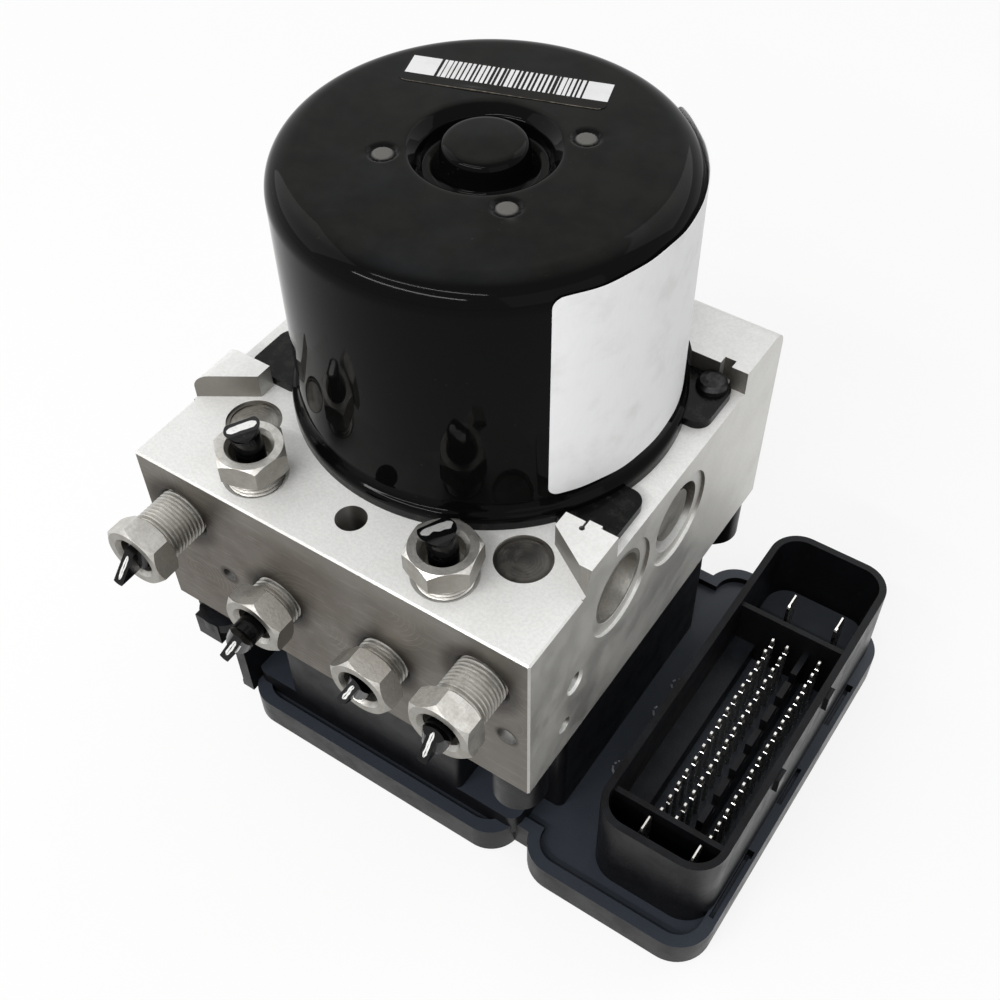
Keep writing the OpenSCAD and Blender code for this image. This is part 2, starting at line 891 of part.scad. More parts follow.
module motor_screws() {
    color([0.35, 0.35, 0.36])
        at_axis()
            for (p = plate_screws)
                translate([p[0], p[1], z_top + plate_t])
                    rotate_extrude($fn = 64)
                        polygon([
                            [0, -plate_t - 8], [motor_screw_r, -plate_t - 8], [motor_screw_r, 0],
                            [3.6, 0], [3.5, 1], [2.8, 2], [1.6, 2.5], [0, 2.6]
                        ]);
}

module magnets() {
    mag_z = z_top + 15;
    color([0.16, 0.16, 0.17])
        at_axis()
            for (a = [25, 205])
                rotate([0, 0, a])
                    translate([0, 0, mag_z])
                        rotate_extrude(angle = 130, $fn = 128)
                            translate([armature_r + 0.6, 0])
                                square([can_r - can_t - armature_r - 0.65, 36]);
}

module armature_core() {
    core_h = 26;
    color([0.33, 0.33, 0.34])
        at_axis()
            translate([0, 0, z_top + 20])
                linear_extrude(core_h)
                    difference() {
                        circle(armature_r, $fn = 128);
                        circle(shaft_r + press, $fn = 48);
                        for (i = [0:slots - 1])
                            rotate(i * 360 / slots) {
                                translate([armature_r - 3, -0.9])
                                    square([6, 1.8]);
                                translate([armature_r * 0.5, -1.9])
                                    square([armature_r * 0.5 - 2, 3.8]);
                            }
                    }
}

module armature_windings() {
    core_z = z_top + 20;
    color([0.65, 0.36, 0.16])
        at_axis() {
            for (i = [0:slots - 1])
                rotate([0, 0, i * 360 / slots])
                    translate([armature_r * 0.5 + 0.1, -1.8, core_z - 0.5])
                        cube([armature_r * 0.5 - 2.3, 3.6, 27]);
            for (z = [core_z - 4.3, core_z + 26])
                translate([0, 0, z])
                    rotate_extrude($fn = 96)
                        polygon([
                            [11, 0], [armature_r - 4, 0], [armature_r - 2.4, 1.2],
                            [armature_r - 2.4, 3.1], [armature_r - 4, 4.3], [11, 4.3]
                        ]);
        }
}

module commutator() {
    bars = slots;
    color([0.72, 0.42, 0.22])
        at_axis()
            translate([0, 0, z_top + 4.6])
                difference() {
                    union() {
                        cylinder(r = 9, h = 10);
                        translate([0, 0, 8.4])
                            cylinder(r = 10.6, h = 2.2);
                    }
                    translate([0, 0, -1])
                        cylinder(r = shaft_r + press, h = 14);
                    for (i = [0:bars - 1])
                        rotate([0, 0, (i + 0.5) * 360 / bars])
                            translate([8, -0.3, -1])
                                cube([4, 0.6, 14]);
                }
}

module motor_shaft() {
    tail_z = z_top + 34;
    color([0.7, 0.7, 0.72])
        at_axis() {
            translate([0, 0, seat_z + 0.6])
                cylinder(r = shaft_r, h = tail_z - seat_z);
            translate([0, 0, tail_z])
                cylinder(r = tail_r, h = z_can - 1.4 - tail_z);
            translate([0, ecc, pump_z - ring_h / 2 - 0.5])
                cylinder(r = ecc_r, h = ring_h + 1);
        }
}

module eccentric_ring() {
    color([0.6, 0.6, 0.62])
        at_axis()
            translate([0, ecc, pump_z - ring_h / 2])
                difference() {
                    cylinder(r = ecc_ring_r, h = ring_h);
                    translate([0, 0, -1])
                        cylinder(r = ecc_r + run_gap, h = ring_h + 2);
                }
}

// Ball bearings of the shaft: [height, length, inner radius, outer radius]
bearings = [
    [z_can - 5.8, 4.8, tail_r + press, pocket_r - press],
    [z_top - 7, 7, shaft_r + press, plate_seat_r - press]
];

// The track that both rings of a bearing share, and the share of its width that each ring takes
module race(b, extra) {
    translate([0, 0, b[0] + b[1] / 2])
        rotate_extrude()
            translate([(b[2] + b[3]) / 2, 0])
                circle((b[3] - b[2]) * 0.27 + extra, $fn = 32);
}

module bearing_ring(b, r_in, r_out) {
    difference() {
        translate([0, 0, b[0]])
            cylinder(r = r_out, h = b[1]);
        translate([0, 0, b[0] - 1])
            cylinder(r = r_in, h = b[1] + 2);
        race(b, 0.04);
    }
}

module bearing_outer_rings() {
    color([0.66, 0.66, 0.68])
        at_axis()
            for (b = bearings)
                bearing_ring(b, b[3] - (b[3] - b[2]) * 0.3, b[3]);
}

module bearing_inner_rings() {
    color([0.7, 0.7, 0.72])
        at_axis()
            for (b = bearings)
                bearing_ring(b, b[2], b[2] + (b[3] - b[2]) * 0.3);
}

module bearing_balls() {
    color([0.8, 0.8, 0.82])
        at_axis()
            for (b = bearings)
                for (i = [0:7])
                    rotate([0, 0, i * 45])
                        translate([(b[2] + b[3]) / 2, 0, b[0] + b[1] / 2])
                            sphere((b[3] - b[2]) * 0.27, $fn = 32);
}

module lower_bearing() {
    color([0.68, 0.68, 0.7])
        at_axis()
            translate([0, 0, seat_z])
                difference() {
                    cylinder(r = seat_r - press, h = 6.5);
                    translate([0, 0, 0.5])
                        cylinder(r = shaft_r + run_gap, h = 7);
                }
}

module brush_holder() {
    box_z = z_top + plate_t + 2;
    color([0.2, 0.2, 0.2])
        at_axis()
            difference() {
                union() {
                    translate([0, 0, z_top + plate_t])
                        cylinder(r = 38, h = 2, $fn = 128);
                    for (side = [-1, 1])
                        translate([side * 23 - 12, -4.8, box_z])
                            cube([24, 9.6, 9.4]);
                }
                translate([0, 0, z_top])
                    cylinder(r = plate_seat_r + 0.2, h = 20);
                for (side = [-1, 1])
                    translate([side * 22 - 12.5, -3.3, box_z + 0.6])
                        cube([25, 6.6, 7]);
                translate([0, tower_y - motor_y, z_top])
                    cylinder(r = tower_r, h = 10);
            }
}

module brush() {
    at_axis()
        color([0.12, 0.12, 0.12])
            translate([9.1, -3.2, z_top + plate_t + 2.7])
                cube([13.4, 6.4, 6.8]);
}

module brush_right() {
    brush();
}

module brush_left() {
    mirror([1, 0, 0])
        brush();
}

module brush_spring() {
    at_axis()
        color([0.6, 0.6, 0.62])
            translate([22.5, 0, z_top + plate_t + 6.1])
                rotate([0, 90, 0])
                    spring(2.4, 0.5, 12, 8);
}

module brush_spring_right() {
    brush_spring();
}

module brush_spring_left() {
    mirror([1, 0, 0])
        brush_spring();
}

module contact_tower() {
    blade_len = z_top + plate_t + 6 - board_z + board_t;
    color([0.15, 0.15, 0.15])
        at_axis()
            translate([0, tower_y - motor_y, 0])
                union() {
                    translate([0, 0, -26])
                        cylinder(r = tower_r - press, h = z_top + plate_t + 30);
                    for (side = [-1, 1])
                        translate([side * 1.8 - 0.4, -1, board_z - board_t])
                            cube([0.8, 2, blade_len]);
                }
}

// Solenoid valves

module valve_cartridges() {
    color([0.7, 0.7, 0.71])
        at_block()
            for (v = valves)
                translate([v[0], v[1], 0])
                    rotate_extrude($fn = 64)
                        polygon([
                            [0, -26], [dome_r - 0.8, -26], [dome_r, -25.2], [dome_r, -1], [5.6, -1],
                            [5.6, 0], [5, 0], [5, valve_depth - 1], [4.2, valve_depth - 0.2],
                            [1.2, valve_depth - 0.2], [1.2, 2],
                            [dome_r - 0.8, 1], [dome_r - 0.8, -24.8], [0, -24.8]
                        ]);
}

module plunger(i) {
    core_r = dome_r - 0.8 - run_gap;
    tip_z = valve_depth - 1 - plunger_lift;
    at_block()
        color([0.5, 0.5, 0.52])
            translate([valves[i - 1][0], valves[i - 1][1], 0])
                rotate_extrude($fn = 48)
                    polygon([
                        [0, -24.2], [core_r, -24.2], [core_r, -3], [0.9, -2],
                        [0.9, tip_z - 1], [0.4, tip_z], [0, tip_z]
                    ]);
}

module valve_coils() {
    color([0.6, 0.33, 0.15])
        at_block()
            for (v = valves)
                translate([v[0], v[1], floor_z + 1.15])
                    difference() {
                        union() {
                            cylinder(r = coil_r - 1.05, h = 21.7);
                            for (side = [-1, 1])
                                translate([side * lead_x, 0, board_z - board_t - 0.5 - floor_z - 1.15])
                                    cylinder(r = lead_r, h = floor_z + 2.15 - board_z + board_t, $fn = 16);
                        }
                        translate([0, 0, -1])
                            cylinder(r = dome_r + 0.1, h = 24);
                    }
}

module coil_yokes() {
    color([0.45, 0.45, 0.47])
        at_block()
            for (v = valves)
                translate([v[0], v[1], floor_z])
                    difference() {
                        rotate_extrude($fn = 64)
                            polygon([
                                [dome_r + 0.1, 0], [coil_r, 0], [coil_r, 24], [dome_r + 0.1, 24],
                                [dome_r + 0.1, 22.9], [coil_r - 1, 22.9], [coil_r - 1, 1.1],
                                [dome_r + 0.1, 1.1]
                            ]);
                        for (side = [-1, 1])
                            translate([side * lead_x, 0, -1])
                                cylinder(r = lead_r + 0.3, h = 2.1, $fn = 16);
                    }
}

// Electronics housing

// Outline of the base: the part under the block, the part under the connector and the waist
module base_outline(inset) {
    back = block_d + 3.5;
    rounded(11.5 + inset, 1.5 + inset, block_w - 9 - inset, back - inset, 8 - inset / 2);
    rounded(block_w - 5.5 + inset, 1.5 + inset, base_right - inset, back - inset, 9 - inset);
    translate([block_w - 20, 8 + inset])
        square([30, back - 14.5 - 2 * inset]);
}

// Outline of the foot under the coil chamber, which also carries the right wall down to the tray
module foot_outline() {
    rounded(11.8, pillar_in, block_w - 8, block_d - pillar_in, 3);
    rounded(block_w - 20, recess_y, block_w - 2.5, block_d - recess_y, 2);
}

// Outline of the coil chamber: full depth in the middle, full width between the corner recesses
module chamber_outline(inset) {
    rounded(24 + inset, pillar_in + inset, block_w - 24 - inset, block_d - pillar_in - inset, 1.5);
    rounded(2.5 + inset, recess_y + inset, block_w - 2.5 - inset, block_d - recess_y - inset, 2);
}

// Outline of the hollow above the board
module board_hollow() {
    rounded(14.5, 9, block_w - 10.5, block_d - 9, 2);
}

module shroud_outline(inset) {
    rounded(shroud_x + inset, shroud_y + inset, shroud_x2 - inset, shroud_y2 - inset, shroud_r - inset);
}

module ecu_housing() {
    top_z = -0.9;
    seat_w = 2.6;
    floor_t = 2;
    color([0.07, 0.07, 0.075])
        at_block()
            difference() {
                union() {
                    // base rim and tray
                    translate([0, 0, 0.5 - ecu_h])
                        linear_extrude(rim_h - 0.5)
                            base_outline(0);
                    // foot of the coil chamber up to the ledge
                    translate([0, 0, tray_z - 1])
                        linear_extrude(ledge_z - tray_z + 1)
                            foot_outline();
                    // coil chamber
                    translate([0, 0, ledge_z])
                        linear_extrude(top_z - ledge_z)
                            chamber_outline(0);
                    // screw pillars with their webs
                    for (p = pillars) {
                        translate([p[0], p[1], -pillar_h])
                            cylinder(r = pillar_r, h = pillar_h);
                        translate([
                            p[0] > block_w / 2 ? p[0] - 19.5 : p[0],
                            p[1] > block_d / 2 ? p[1] - 13.5 : p[1] - 1.5,
                            -pillar_h / 2
                        ])
                            cube([19.5, 15, pillar_h / 2 + top_z]);
                    }
                    // connector shroud
                    translate([0, 0, tray_z - 1])
                        linear_extrude(mouth_z - tray_z + 1)
                            shroud_outline(0);
                    // latch lugs below the mouth on the shroud's right side
                    for (y = [39.5, 65.5])
                        translate([shroud_x2 - 0.5, y, mouth_z - 5.5])
                            cube([1.6, 3.6, 4.8]);
                    // plate in front of the left front pillar, and the web that joins it to the base
                    translate([2.2, 0.4, -pillar_h - 4])
                        cube([7.1, 3.2, 7]);
                    translate([9, 3.4, tray_z])
                        cube([3.5, 14, 1 - pillar_h - tray_z]);
                }
                // groove behind the rim
                translate([0, 0, tray_z])
                    linear_extrude(10)
                        difference() {
                            base_outline(3);
                            foot_outline();
                            shroud_outline(0);
                        }
                // hollow of the coil chamber
                translate([0, 0, floor_z])
                    linear_extrude(50)
                        chamber_outline(seat_w);
                // recess of the cover and the hollow for the board, with its posts
                translate([0, 0, -ecu_h - 1])
                    linear_extrude(cover_t + 1)
                        base_outline(wall);
                difference() {
                    union() {
                        translate([0, 0, -ecu_h])
                            linear_extrude(tray_z - tray_t + ecu_h)
                                base_outline(wall + ledge_w);
                        translate([0, 0, tray_z - tray_t - 1])
                            linear_extrude(ledge_z - floor_t - tray_z + tray_t + 1)
                                board_hollow();
                        translate([0, 0, tray_z - tray_t - 1])
                            linear_extrude(floor_z - floor_t - tray_z + tray_t + 1)
                                intersection() {
                                    chamber_outline(seat_w);
                                    board_hollow();
                                }
                    }
                    for (p = concat(board_posts, floor_posts))
                        translate([p[0], p[1], board_z])
                            cylinder(r = 1.8, h = 20);
                }
                // connector sockets
                translate([0, 0, socket_z])
                    linear_extrude(40)
                        difference() {
                            shroud_outline(wall);
                            for (y = divider_y)
                                translate([shroud_x, y])
                                    square([shroud_w, divider_t]);
                            translate([rib_x, divider_y[0]])
                                square([rib_t, divider_y[1] - divider_y[0]]);
                            translate([shroud_x, divider_y[0]])
                                square([key_w, divider_y[1] - divider_y[0]]);
                        }
                translate([0, 0, mouth_z - 2])
                    linear_extrude(20)
                        shroud_outline(wall);
                translate([shroud_x + wall, divider_y[0] + divider_t, -27])
                    cube([key_w + 0.1 - wall, divider_y[1] - divider_y[0] - divider_t, 30]);
                translate([rib_x - 0.4, divider_y[0] + divider_t, pin_tip_z - 3])
                    cube([rib_t + 1.4, divider_y[1] - divider_y[0] - divider_t, 30]);
                for (i = [0:2:pins_per_row - 2])
                    translate([rib_x - 0.4, pin_y0 + (i + 0.2) * pin_pitch, pin_tip_z - 7])
                        cube([rib_t + 1.4, pin_pitch * 0.7, 30]);
                // passages of the pins, blades, valve leads and contact tower
                for (x = pin_rows)
                    for (i = [0:pins_per_row - 1])
                        translate([x, pin_y0 + i * pin_pitch, 10 - ecu_h])
                            cube([pin_t + 2 * press, pin_t + 2 * press, 20], center = true);
                for (x = blade_x)
                    for (y = blade_y)
                        translate([x - blade_t / 2 - press, y - press, -ecu_h])
                            cube([blade_t + 2 * press, blade_w + 2 * press, 20]);
                translate([motor_x, tower_y, -ecu_h])
                    cylinder(r = tower_r + 0.2, h = 30);
                for (v = valves)
                    for (side = [-1, 1])
                        translate([v[0] + side * lead_x, v[1], floor_z - 5])
                            cylinder(r = lead_r + 0.3, h = 6, $fn = 16);
                // screw holes of the pillars
                for (p = pillars)
                    translate([p[0], p[1], -pillar_h - 1])
                        cylinder(r = screw_r + 0.1, h = pillar_h + 2);
                // step of the left front pillar, and room for a driver beside its web
                translate([-1, -1, -9])
                    cube([2 * pillar_in + 1, 4.4, 12]);
                translate([pillar_in, pillar_in, -pillar_h - 24])
                    cylinder(r = 4.2, h = 24);
                // grooves and two pockets in the rim beside the connector
                for (s = [[13, 31], [47.6, 59.1], [74.3, 86.5]])
                    translate([shroud_x2 + 0.2, s[0], tray_z])
                        cube([1.1, s[1] - s[0], 3]);
                for (y = [30.9, 86.4])
                    translate([shroud_x2 + 0.1, y, rim_top - 3])
                        cube([1.7, 2.1, 4]);
            }
}

module housing_seal() {
    color([0.1, 0.1, 0.1])
        at_block()
            translate([0, 0, -0.9])
                linear_extrude(0.9)
                    difference() {
                        chamber_outline(0.3);
                        chamber_outline(2.3);
                    }
}

module ecu_cover() {
    color([0.09, 0.09, 0.095])
        at_block()
            translate([0, 0, -ecu_h])
                linear_extrude(cover_t)
                    base_outline(wall + 0.1);
}

module circuit_board() {
    color([0.1, 0.35, 0.2])
        at_block()
            translate([0, 0, board_z - board_t])
                difference() {
                    linear_extrude(board_t)
                        base_outline(wall + ledge_w + 0.3);
                    for (v = valves)
                        for (side = [-1, 1])
                            translate([v[0] + side * lead_x, v[1], -1])
                                cylinder(r = lead_r + press, h = 4, $fn = 16);
                    for (side = [-1, 1])
                        translate([motor_x + side * 1.8 - 0.4 - press, tower_y - 1 - press, -1])
                            cube([0.8 + 2 * press, 2 + 2 * press, 4]);
                    for (x = pin_rows)
                        for (i = [0:pins_per_row - 1])
                            translate([x, pin_y0 + i * pin_pitch, 1])
                                cube([pin_t + 2 * press, pin_t + 2 * press, 4], center = true);
                    for (x = blade_x)
                        for (y = blade_y)
                            translate([x - blade_t / 2 - press, y - press, -1])
                                cube([blade_t + 2 * press, blade_w + 2 * press, 4]);
                }
}

module board_parts() {
    color([0.12, 0.12, 0.13])
        at_block()
            translate([0, 0, board_z]) {
                translate([43, 53.5, 0])
                    cube([16, 16, 1.8]);
                for (x = [28, 58])
                    translate([x, 35, 0])
                        cube([14, 9, 2.2]);
                translate([40, 11, 0])
                    cube([18, 12, 6.5]);
                translate([64, 55, 0])
                    cube([10, 12, 5]);
                for (x = [26, 36])
                    translate([x, 61, 0])
                        cylinder(r = 4, h = 6.6);
                for (i = [0:5])
                    translate([24 + 8 * i, 82, 0])
                        cube([5, 5, 1.4]);
            }
}

module connector_pins() {
    color([0.85, 0.85, 0.83])
        at_block()
            for (x = pin_rows)
                for (i = [0:pins_per_row - 1])
                    translate([x, pin_y0 + i * pin_pitch, 0]) {
                        translate([-pin_t / 2, -pin_t / 2, board_z - board_t - 0.6])
                            cube([pin_t, pin_t, pin_tip_z - board_z + board_t]);
                        translate([-pin_t / 4, -pin_t / 4, pin_tip_z - 0.61])
                            cube([pin_t / 2, pin_t / 2, 0.61]);
                    }
}

module connector_blades() {
    color([0.85, 0.85, 0.83])
        at_block()
            for (x = blade_x)
                for (y = blade_y)
                    translate([x - blade_t / 2, y, board_z - board_t - 0.6])
                        cube([blade_t, blade_w, mouth_z - 2.4 - board_z + board_t + 0.6]);
}

module ecu_screws() {
    color([0.5, 0.5, 0.5])
        at_block()
            for (p = pillars)
                translate([p[0], p[1], -pillar_h]) {
                    translate([0, 0, -3])
                        cylinder(r = 4, h = 3);
                    translate([0, 0, -eps])
                        cylinder(r = screw_r, h = pillar_h + 8);
                }
}

// Labels

module side_label() {
    color([0.9, 0.9, 0.9])
        at_axis()
            rotate([0, 0, label_start])
                translate([0, 0, label_z])
                    rotate_extrude(angle = label_angle, $fn = 180)
                        translate([can_r + glue, 0])
                            square([label_t, label_h]);
}

module top_label() {
    color([0.06, 0.06, 0.06])
        at_block()
            translate([42.2, 79.6, z_can])
                rotate([0, 0, 17.7])
                    linear_extrude(0.12)
                        rounded(-bar_len / 2, -bar_w / 2, bar_len / 2, bar_w / 2, 1.5);
}

valve_block();
closure_discs();
accumulator_caps();
pump_plugs();
pump_sleeves();
accumulator_piston_right();
accumulator_piston_left();
accumulator_spring_right();
accumulator_spring_left();
pump_piston_right();
pump_piston_left();
pump_spring_right();
pump_spring_left();
tube_nuts();
pipe_stubs();
motor_can();
motor_plate();
motor_screws();
magnets();
armature_core();
armature_windings();
commutator();
motor_shaft();
eccentric_ring();
bearing_outer_rings();
bearing_inner_rings();
bearing_balls();
lower_bearing();
brush_holder();
brush_right();
brush_left();
brush_spring_right();
brush_spring_left();
contact_tower();
valve_cartridges();
valve_coils();
coil_yokes();
plunger(1);  // plunger_1
plunger(2);  // plunger_2
plunger(3);  // plunger_3
plunger(4);  // plunger_4
plunger(5);  // plunger_5
plunger(6);  // plunger_6
plunger(7);  // plunger_7
plunger(8);  // plunger_8
plunger(9);  // plunger_9
plunger(10);  // plunger_10
plunger(11);  // plunger_11
plunger(12);  // plunger_12
ecu_housing();
housing_seal();
ecu_cover();
circuit_board();
board_parts();
connector_pins();
connector_blades();
ecu_screws();
side_label();
top_label();
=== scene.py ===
"""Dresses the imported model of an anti-lock brake modulator: finishes, can, labels, contacts and the stage."""

import json
import math

import bmesh
import bpy
from bpy.props import FloatProperty, FloatVectorProperty, IntProperty, PointerProperty
from mathutils import Matrix, Vector


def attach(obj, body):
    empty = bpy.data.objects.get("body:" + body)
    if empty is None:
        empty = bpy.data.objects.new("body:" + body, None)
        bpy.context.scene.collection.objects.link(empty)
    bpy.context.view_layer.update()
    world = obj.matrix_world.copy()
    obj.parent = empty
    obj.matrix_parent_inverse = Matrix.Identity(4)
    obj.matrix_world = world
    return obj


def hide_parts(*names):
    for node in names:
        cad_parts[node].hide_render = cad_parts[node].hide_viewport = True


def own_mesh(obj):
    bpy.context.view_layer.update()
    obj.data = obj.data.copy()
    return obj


bl_info = {
    "name": "Brake modulator finishes",
    "version": (1, 0, 0),
    "blender": (4, 5, 0),
    "location": "View3D > Sidebar > Modulator",
    "description": "Gives the packed brake modulator its finishes, labels, pipe ends and contacts",
    "category": "Object",
}

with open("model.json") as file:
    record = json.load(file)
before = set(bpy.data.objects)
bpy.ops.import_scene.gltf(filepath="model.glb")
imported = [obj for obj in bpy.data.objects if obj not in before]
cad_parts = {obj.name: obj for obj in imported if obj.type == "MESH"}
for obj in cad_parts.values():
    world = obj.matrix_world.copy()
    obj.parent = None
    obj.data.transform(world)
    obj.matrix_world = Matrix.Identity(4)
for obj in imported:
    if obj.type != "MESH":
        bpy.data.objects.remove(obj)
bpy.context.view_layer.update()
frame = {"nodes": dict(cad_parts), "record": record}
nodes = frame["nodes"]
slots = {part["node"]: part["material_slot"] for part in frame["record"]["subparts"]}

MM = 0.001
# Places below are in millimetres from the valve block's lower front left corner
MOTOR_AXIS = (51.0, 59.5)
BLOCK_FLOOR = 45.0
BLOCK_TOP = 48.0
CAN_END = 107.5
CAN_RADIUS = 41.8
FLANGE_RADIUS = 43.5
PLATE = 2.0
CLOSURES = ((15.3, 21.0, 47.4), (84.9, 21.0, 47.4))
TRAY = -38.0
LEDGE = -32.0
SMOOTH = {"interpolation_type": "SMOOTHSTEP"}


def at_block(x, y, z):
    """A place given from the block's lower front left corner, in metres of the shared frame."""
    return Vector((x - MOTOR_AXIS[0], y - MOTOR_AXIS[1], z + BLOCK_FLOOR)) * MM


def linear(hex_colour):
    """The linear colour of an sRGB hex value, with alpha."""
    parts = [int(hex_colour[i:i + 2], 16) / 255 for i in (1, 3, 5)]
    return [p / 12.92 if p <= 0.04045 else ((p + 0.055) / 1.055) ** 2.4 for p in parts] + [1.0]


def per_mm(size):
    """The scale of a pattern whose features are that many millimetres apart."""
    return 1.0 / (size * MM)


def add(tree, kind, settings=None, inputs=None):
    """Adds a node. An input is a value, a socket, or a node that feeds it; a tuple feeds several."""
    node = tree.nodes.new(kind)
    for name, value in (settings or {}).items():
        setattr(node, name, value)
    for key, value in (inputs or {}).items():
        for feed in value if isinstance(value, tuple) else (value,):
            if isinstance(feed, bpy.types.Node):
                feed = next(out for out in feed.outputs if out.enabled)
            if isinstance(feed, bpy.types.NodeSocket):
                tree.links.new(feed, node.inputs[key])
            else:
                node.inputs[key].default_value = feed
    return node


def reckon(tree, operation, *values):
    """A maths node over one or two values, sockets or nodes."""
    return add(tree, "ShaderNodeMath", {"operation": operation}, dict(enumerate(values)))


def emptied(owner):
    """The node tree of a material or a world, with nothing in it yet."""
    owner.use_nodes = True
    owner.node_tree.nodes.clear()
    return owner.node_tree


def mottle(tree, where, size, low, high, detail=4.0):
    """Cloudy patches of one size in millimetres, from 0 to 1 between two noise levels."""
    noise = add(tree, "ShaderNodeTexNoise", None, {
        "Vector": where, "Scale": per_mm(size), "Detail": detail, "Roughness": 0.6})
    return add(tree, "ShaderNodeMapRange", SMOOTH, {
        "Value": noise.outputs["Fac"], "From Min": low, "From Max": high})


def swirls(tree, where, cell, spacing, width, seed):
    """Arcs left by a turning pad: rings round scattered centres, broken by patches."""
    shifted = add(tree, "ShaderNodeVectorMath", {"operation": "ADD"}, {0: where, 1: [seed, seed * 0.7, 0]})
    cells = add(tree, "ShaderNodeTexVoronoi", {"voronoi_dimensions": "2D"}, {
        "Vector": shifted, "Scale": per_mm(cell)})
    turns = reckon(tree, "MULTIPLY", cells.outputs["Distance"], 2 * math.pi * cell / spacing)
    wave = reckon(tree, "SINE", turns)
    line = add(tree, "ShaderNodeMapRange", SMOOTH, {"Value": wave, "From Min": 1 - width, "From Max": 1.0})
    gaps = mottle(tree, shifted, cell * 0.35, 0.5, 0.62, 2.0)
    return reckon(tree, "MULTIPLY", line, gaps)


def near_places(tree, where, places, bands):
    """Masks by the distance to the nearest place, in units of its own reach in millimetres."""
    gap = 1000.0
    for place, reach in places:
        away = add(tree, "ShaderNodeVectorMath", {"operation": "DISTANCE"}, {0: where, 1: place})
        away = reckon(tree, "MULTIPLY", away, per_mm(reach))
        gap = reckon(tree, "MINIMUM", gap, away)
    masks = {}
    for name, (low, high) in bands.items():
        masks[name] = add(tree, "ShaderNodeMapRange", SMOOTH, {"Value": gap, "From Min": low, "From Max": high})
    return gap, masks


def finish(name, values, base, recipes, tones, spans, relief, special=None):
    """A material: tones laid over its base where their named masks meet, and relief in millimetres.

    A recipe makes a mask from 0 to 1. It is (size, low, high) for patches, or (coordinate, axis, low,
    high) for the way that a face turns or its place. Spans drive the shader's sockets between two
    values by a mask, and special adds masks that only this finish has."""
    material = bpy.data.materials.new(name)
    tree = emptied(material)
    shader = add(tree, "ShaderNodeBsdfPrincipled", None, values)
    add(tree, "ShaderNodeOutputMaterial", None, {"Surface": shader})
    places = add(tree, "ShaderNodeTexCoord").outputs
    masks = special(tree, places["Object"]) if special else {}
    for mask, recipe in recipes.items():
        if recipe[0] in ("Normal", "Object"):
            source, axis, low, high = recipe
            parts = add(tree, "ShaderNodeSeparateXYZ", None, {0: places[source]})
            masks[mask] = add(tree, "ShaderNodeMapRange", SMOOTH, {
                "Value": parts.outputs[axis], "From Min": low, "From Max": high})
        else:
            masks[mask] = mottle(tree, places["Object"], *recipe)
    for names, share, colour in tones:
        for mask in names.split():
            share = reckon(tree, "MULTIPLY", masks[mask], share)
        base = add(tree, "ShaderNodeMix", {"data_type": "RGBA"}, {0: share, 6: base, 7: linear(colour)})
    tree.links.new(base.outputs[2], shader.inputs["Base Color"])
    for socket, (mask, low, high) in spans.items():
        span = add(tree, "ShaderNodeMapRange", None, {"Value": masks[mask], "To Min": low, "To Max": high})
        tree.links.new(span.outputs[0], shader.inputs[socket])
    mask, height = relief
    bump = add(tree, "ShaderNodeBump", None, {"Height": masks[mask], "Distance": height * MM, "Strength": 1.0})
    tree.links.new(bump.outputs[0], shader.inputs["Normal"])
    return material


# Darker places on the front face, round the ports, a gouge and a hole: place along it and up it, and how far
# the darkening reaches
FRONT_DARKENING = [(10.2, 34.4, 11.5), (34.5, 21.0, 10.5), (63.5, 21.0, 10.5), (88.6, 34.4, 11.5),
              (94.6, 18.8, 3.4), (20.5, 20.0, 3.2)]


def milling_marks(tree, where):
    """Arcs of two pads on top, arcs and drawn lines on the front, and darker round what stands in it."""
    point = add(tree, "ShaderNodeSeparateXYZ", None, {0: where}).outputs
    facing = add(tree, "ShaderNodeCombineXYZ", None, {0: point["X"], 1: point["Z"]})
    along = add(tree, "ShaderNodeMapping", None, {"Vector": where, "Scale": [0.12, 1.0, 1.0]})
    _, darker_round = near_places(tree, where, [(at_block(x, 0, z), reach) for x, z, reach in FRONT_DARKENING],
                          {"darker_round": (1.0, 0.62)})
    return {
        "drawn": mottle(tree, along, 0.8, 0.5, 0.75, 3.0),
        "fine": swirls(tree, where, 33.0, 0.9, 0.12, 0.31),
        "coarse": swirls(tree, where, 21.0, 1.7, 0.05, 0.77),
        "upright": swirls(tree, facing, 38.0, 1.3, 0.1, 0.53),
        **darker_round,
    }


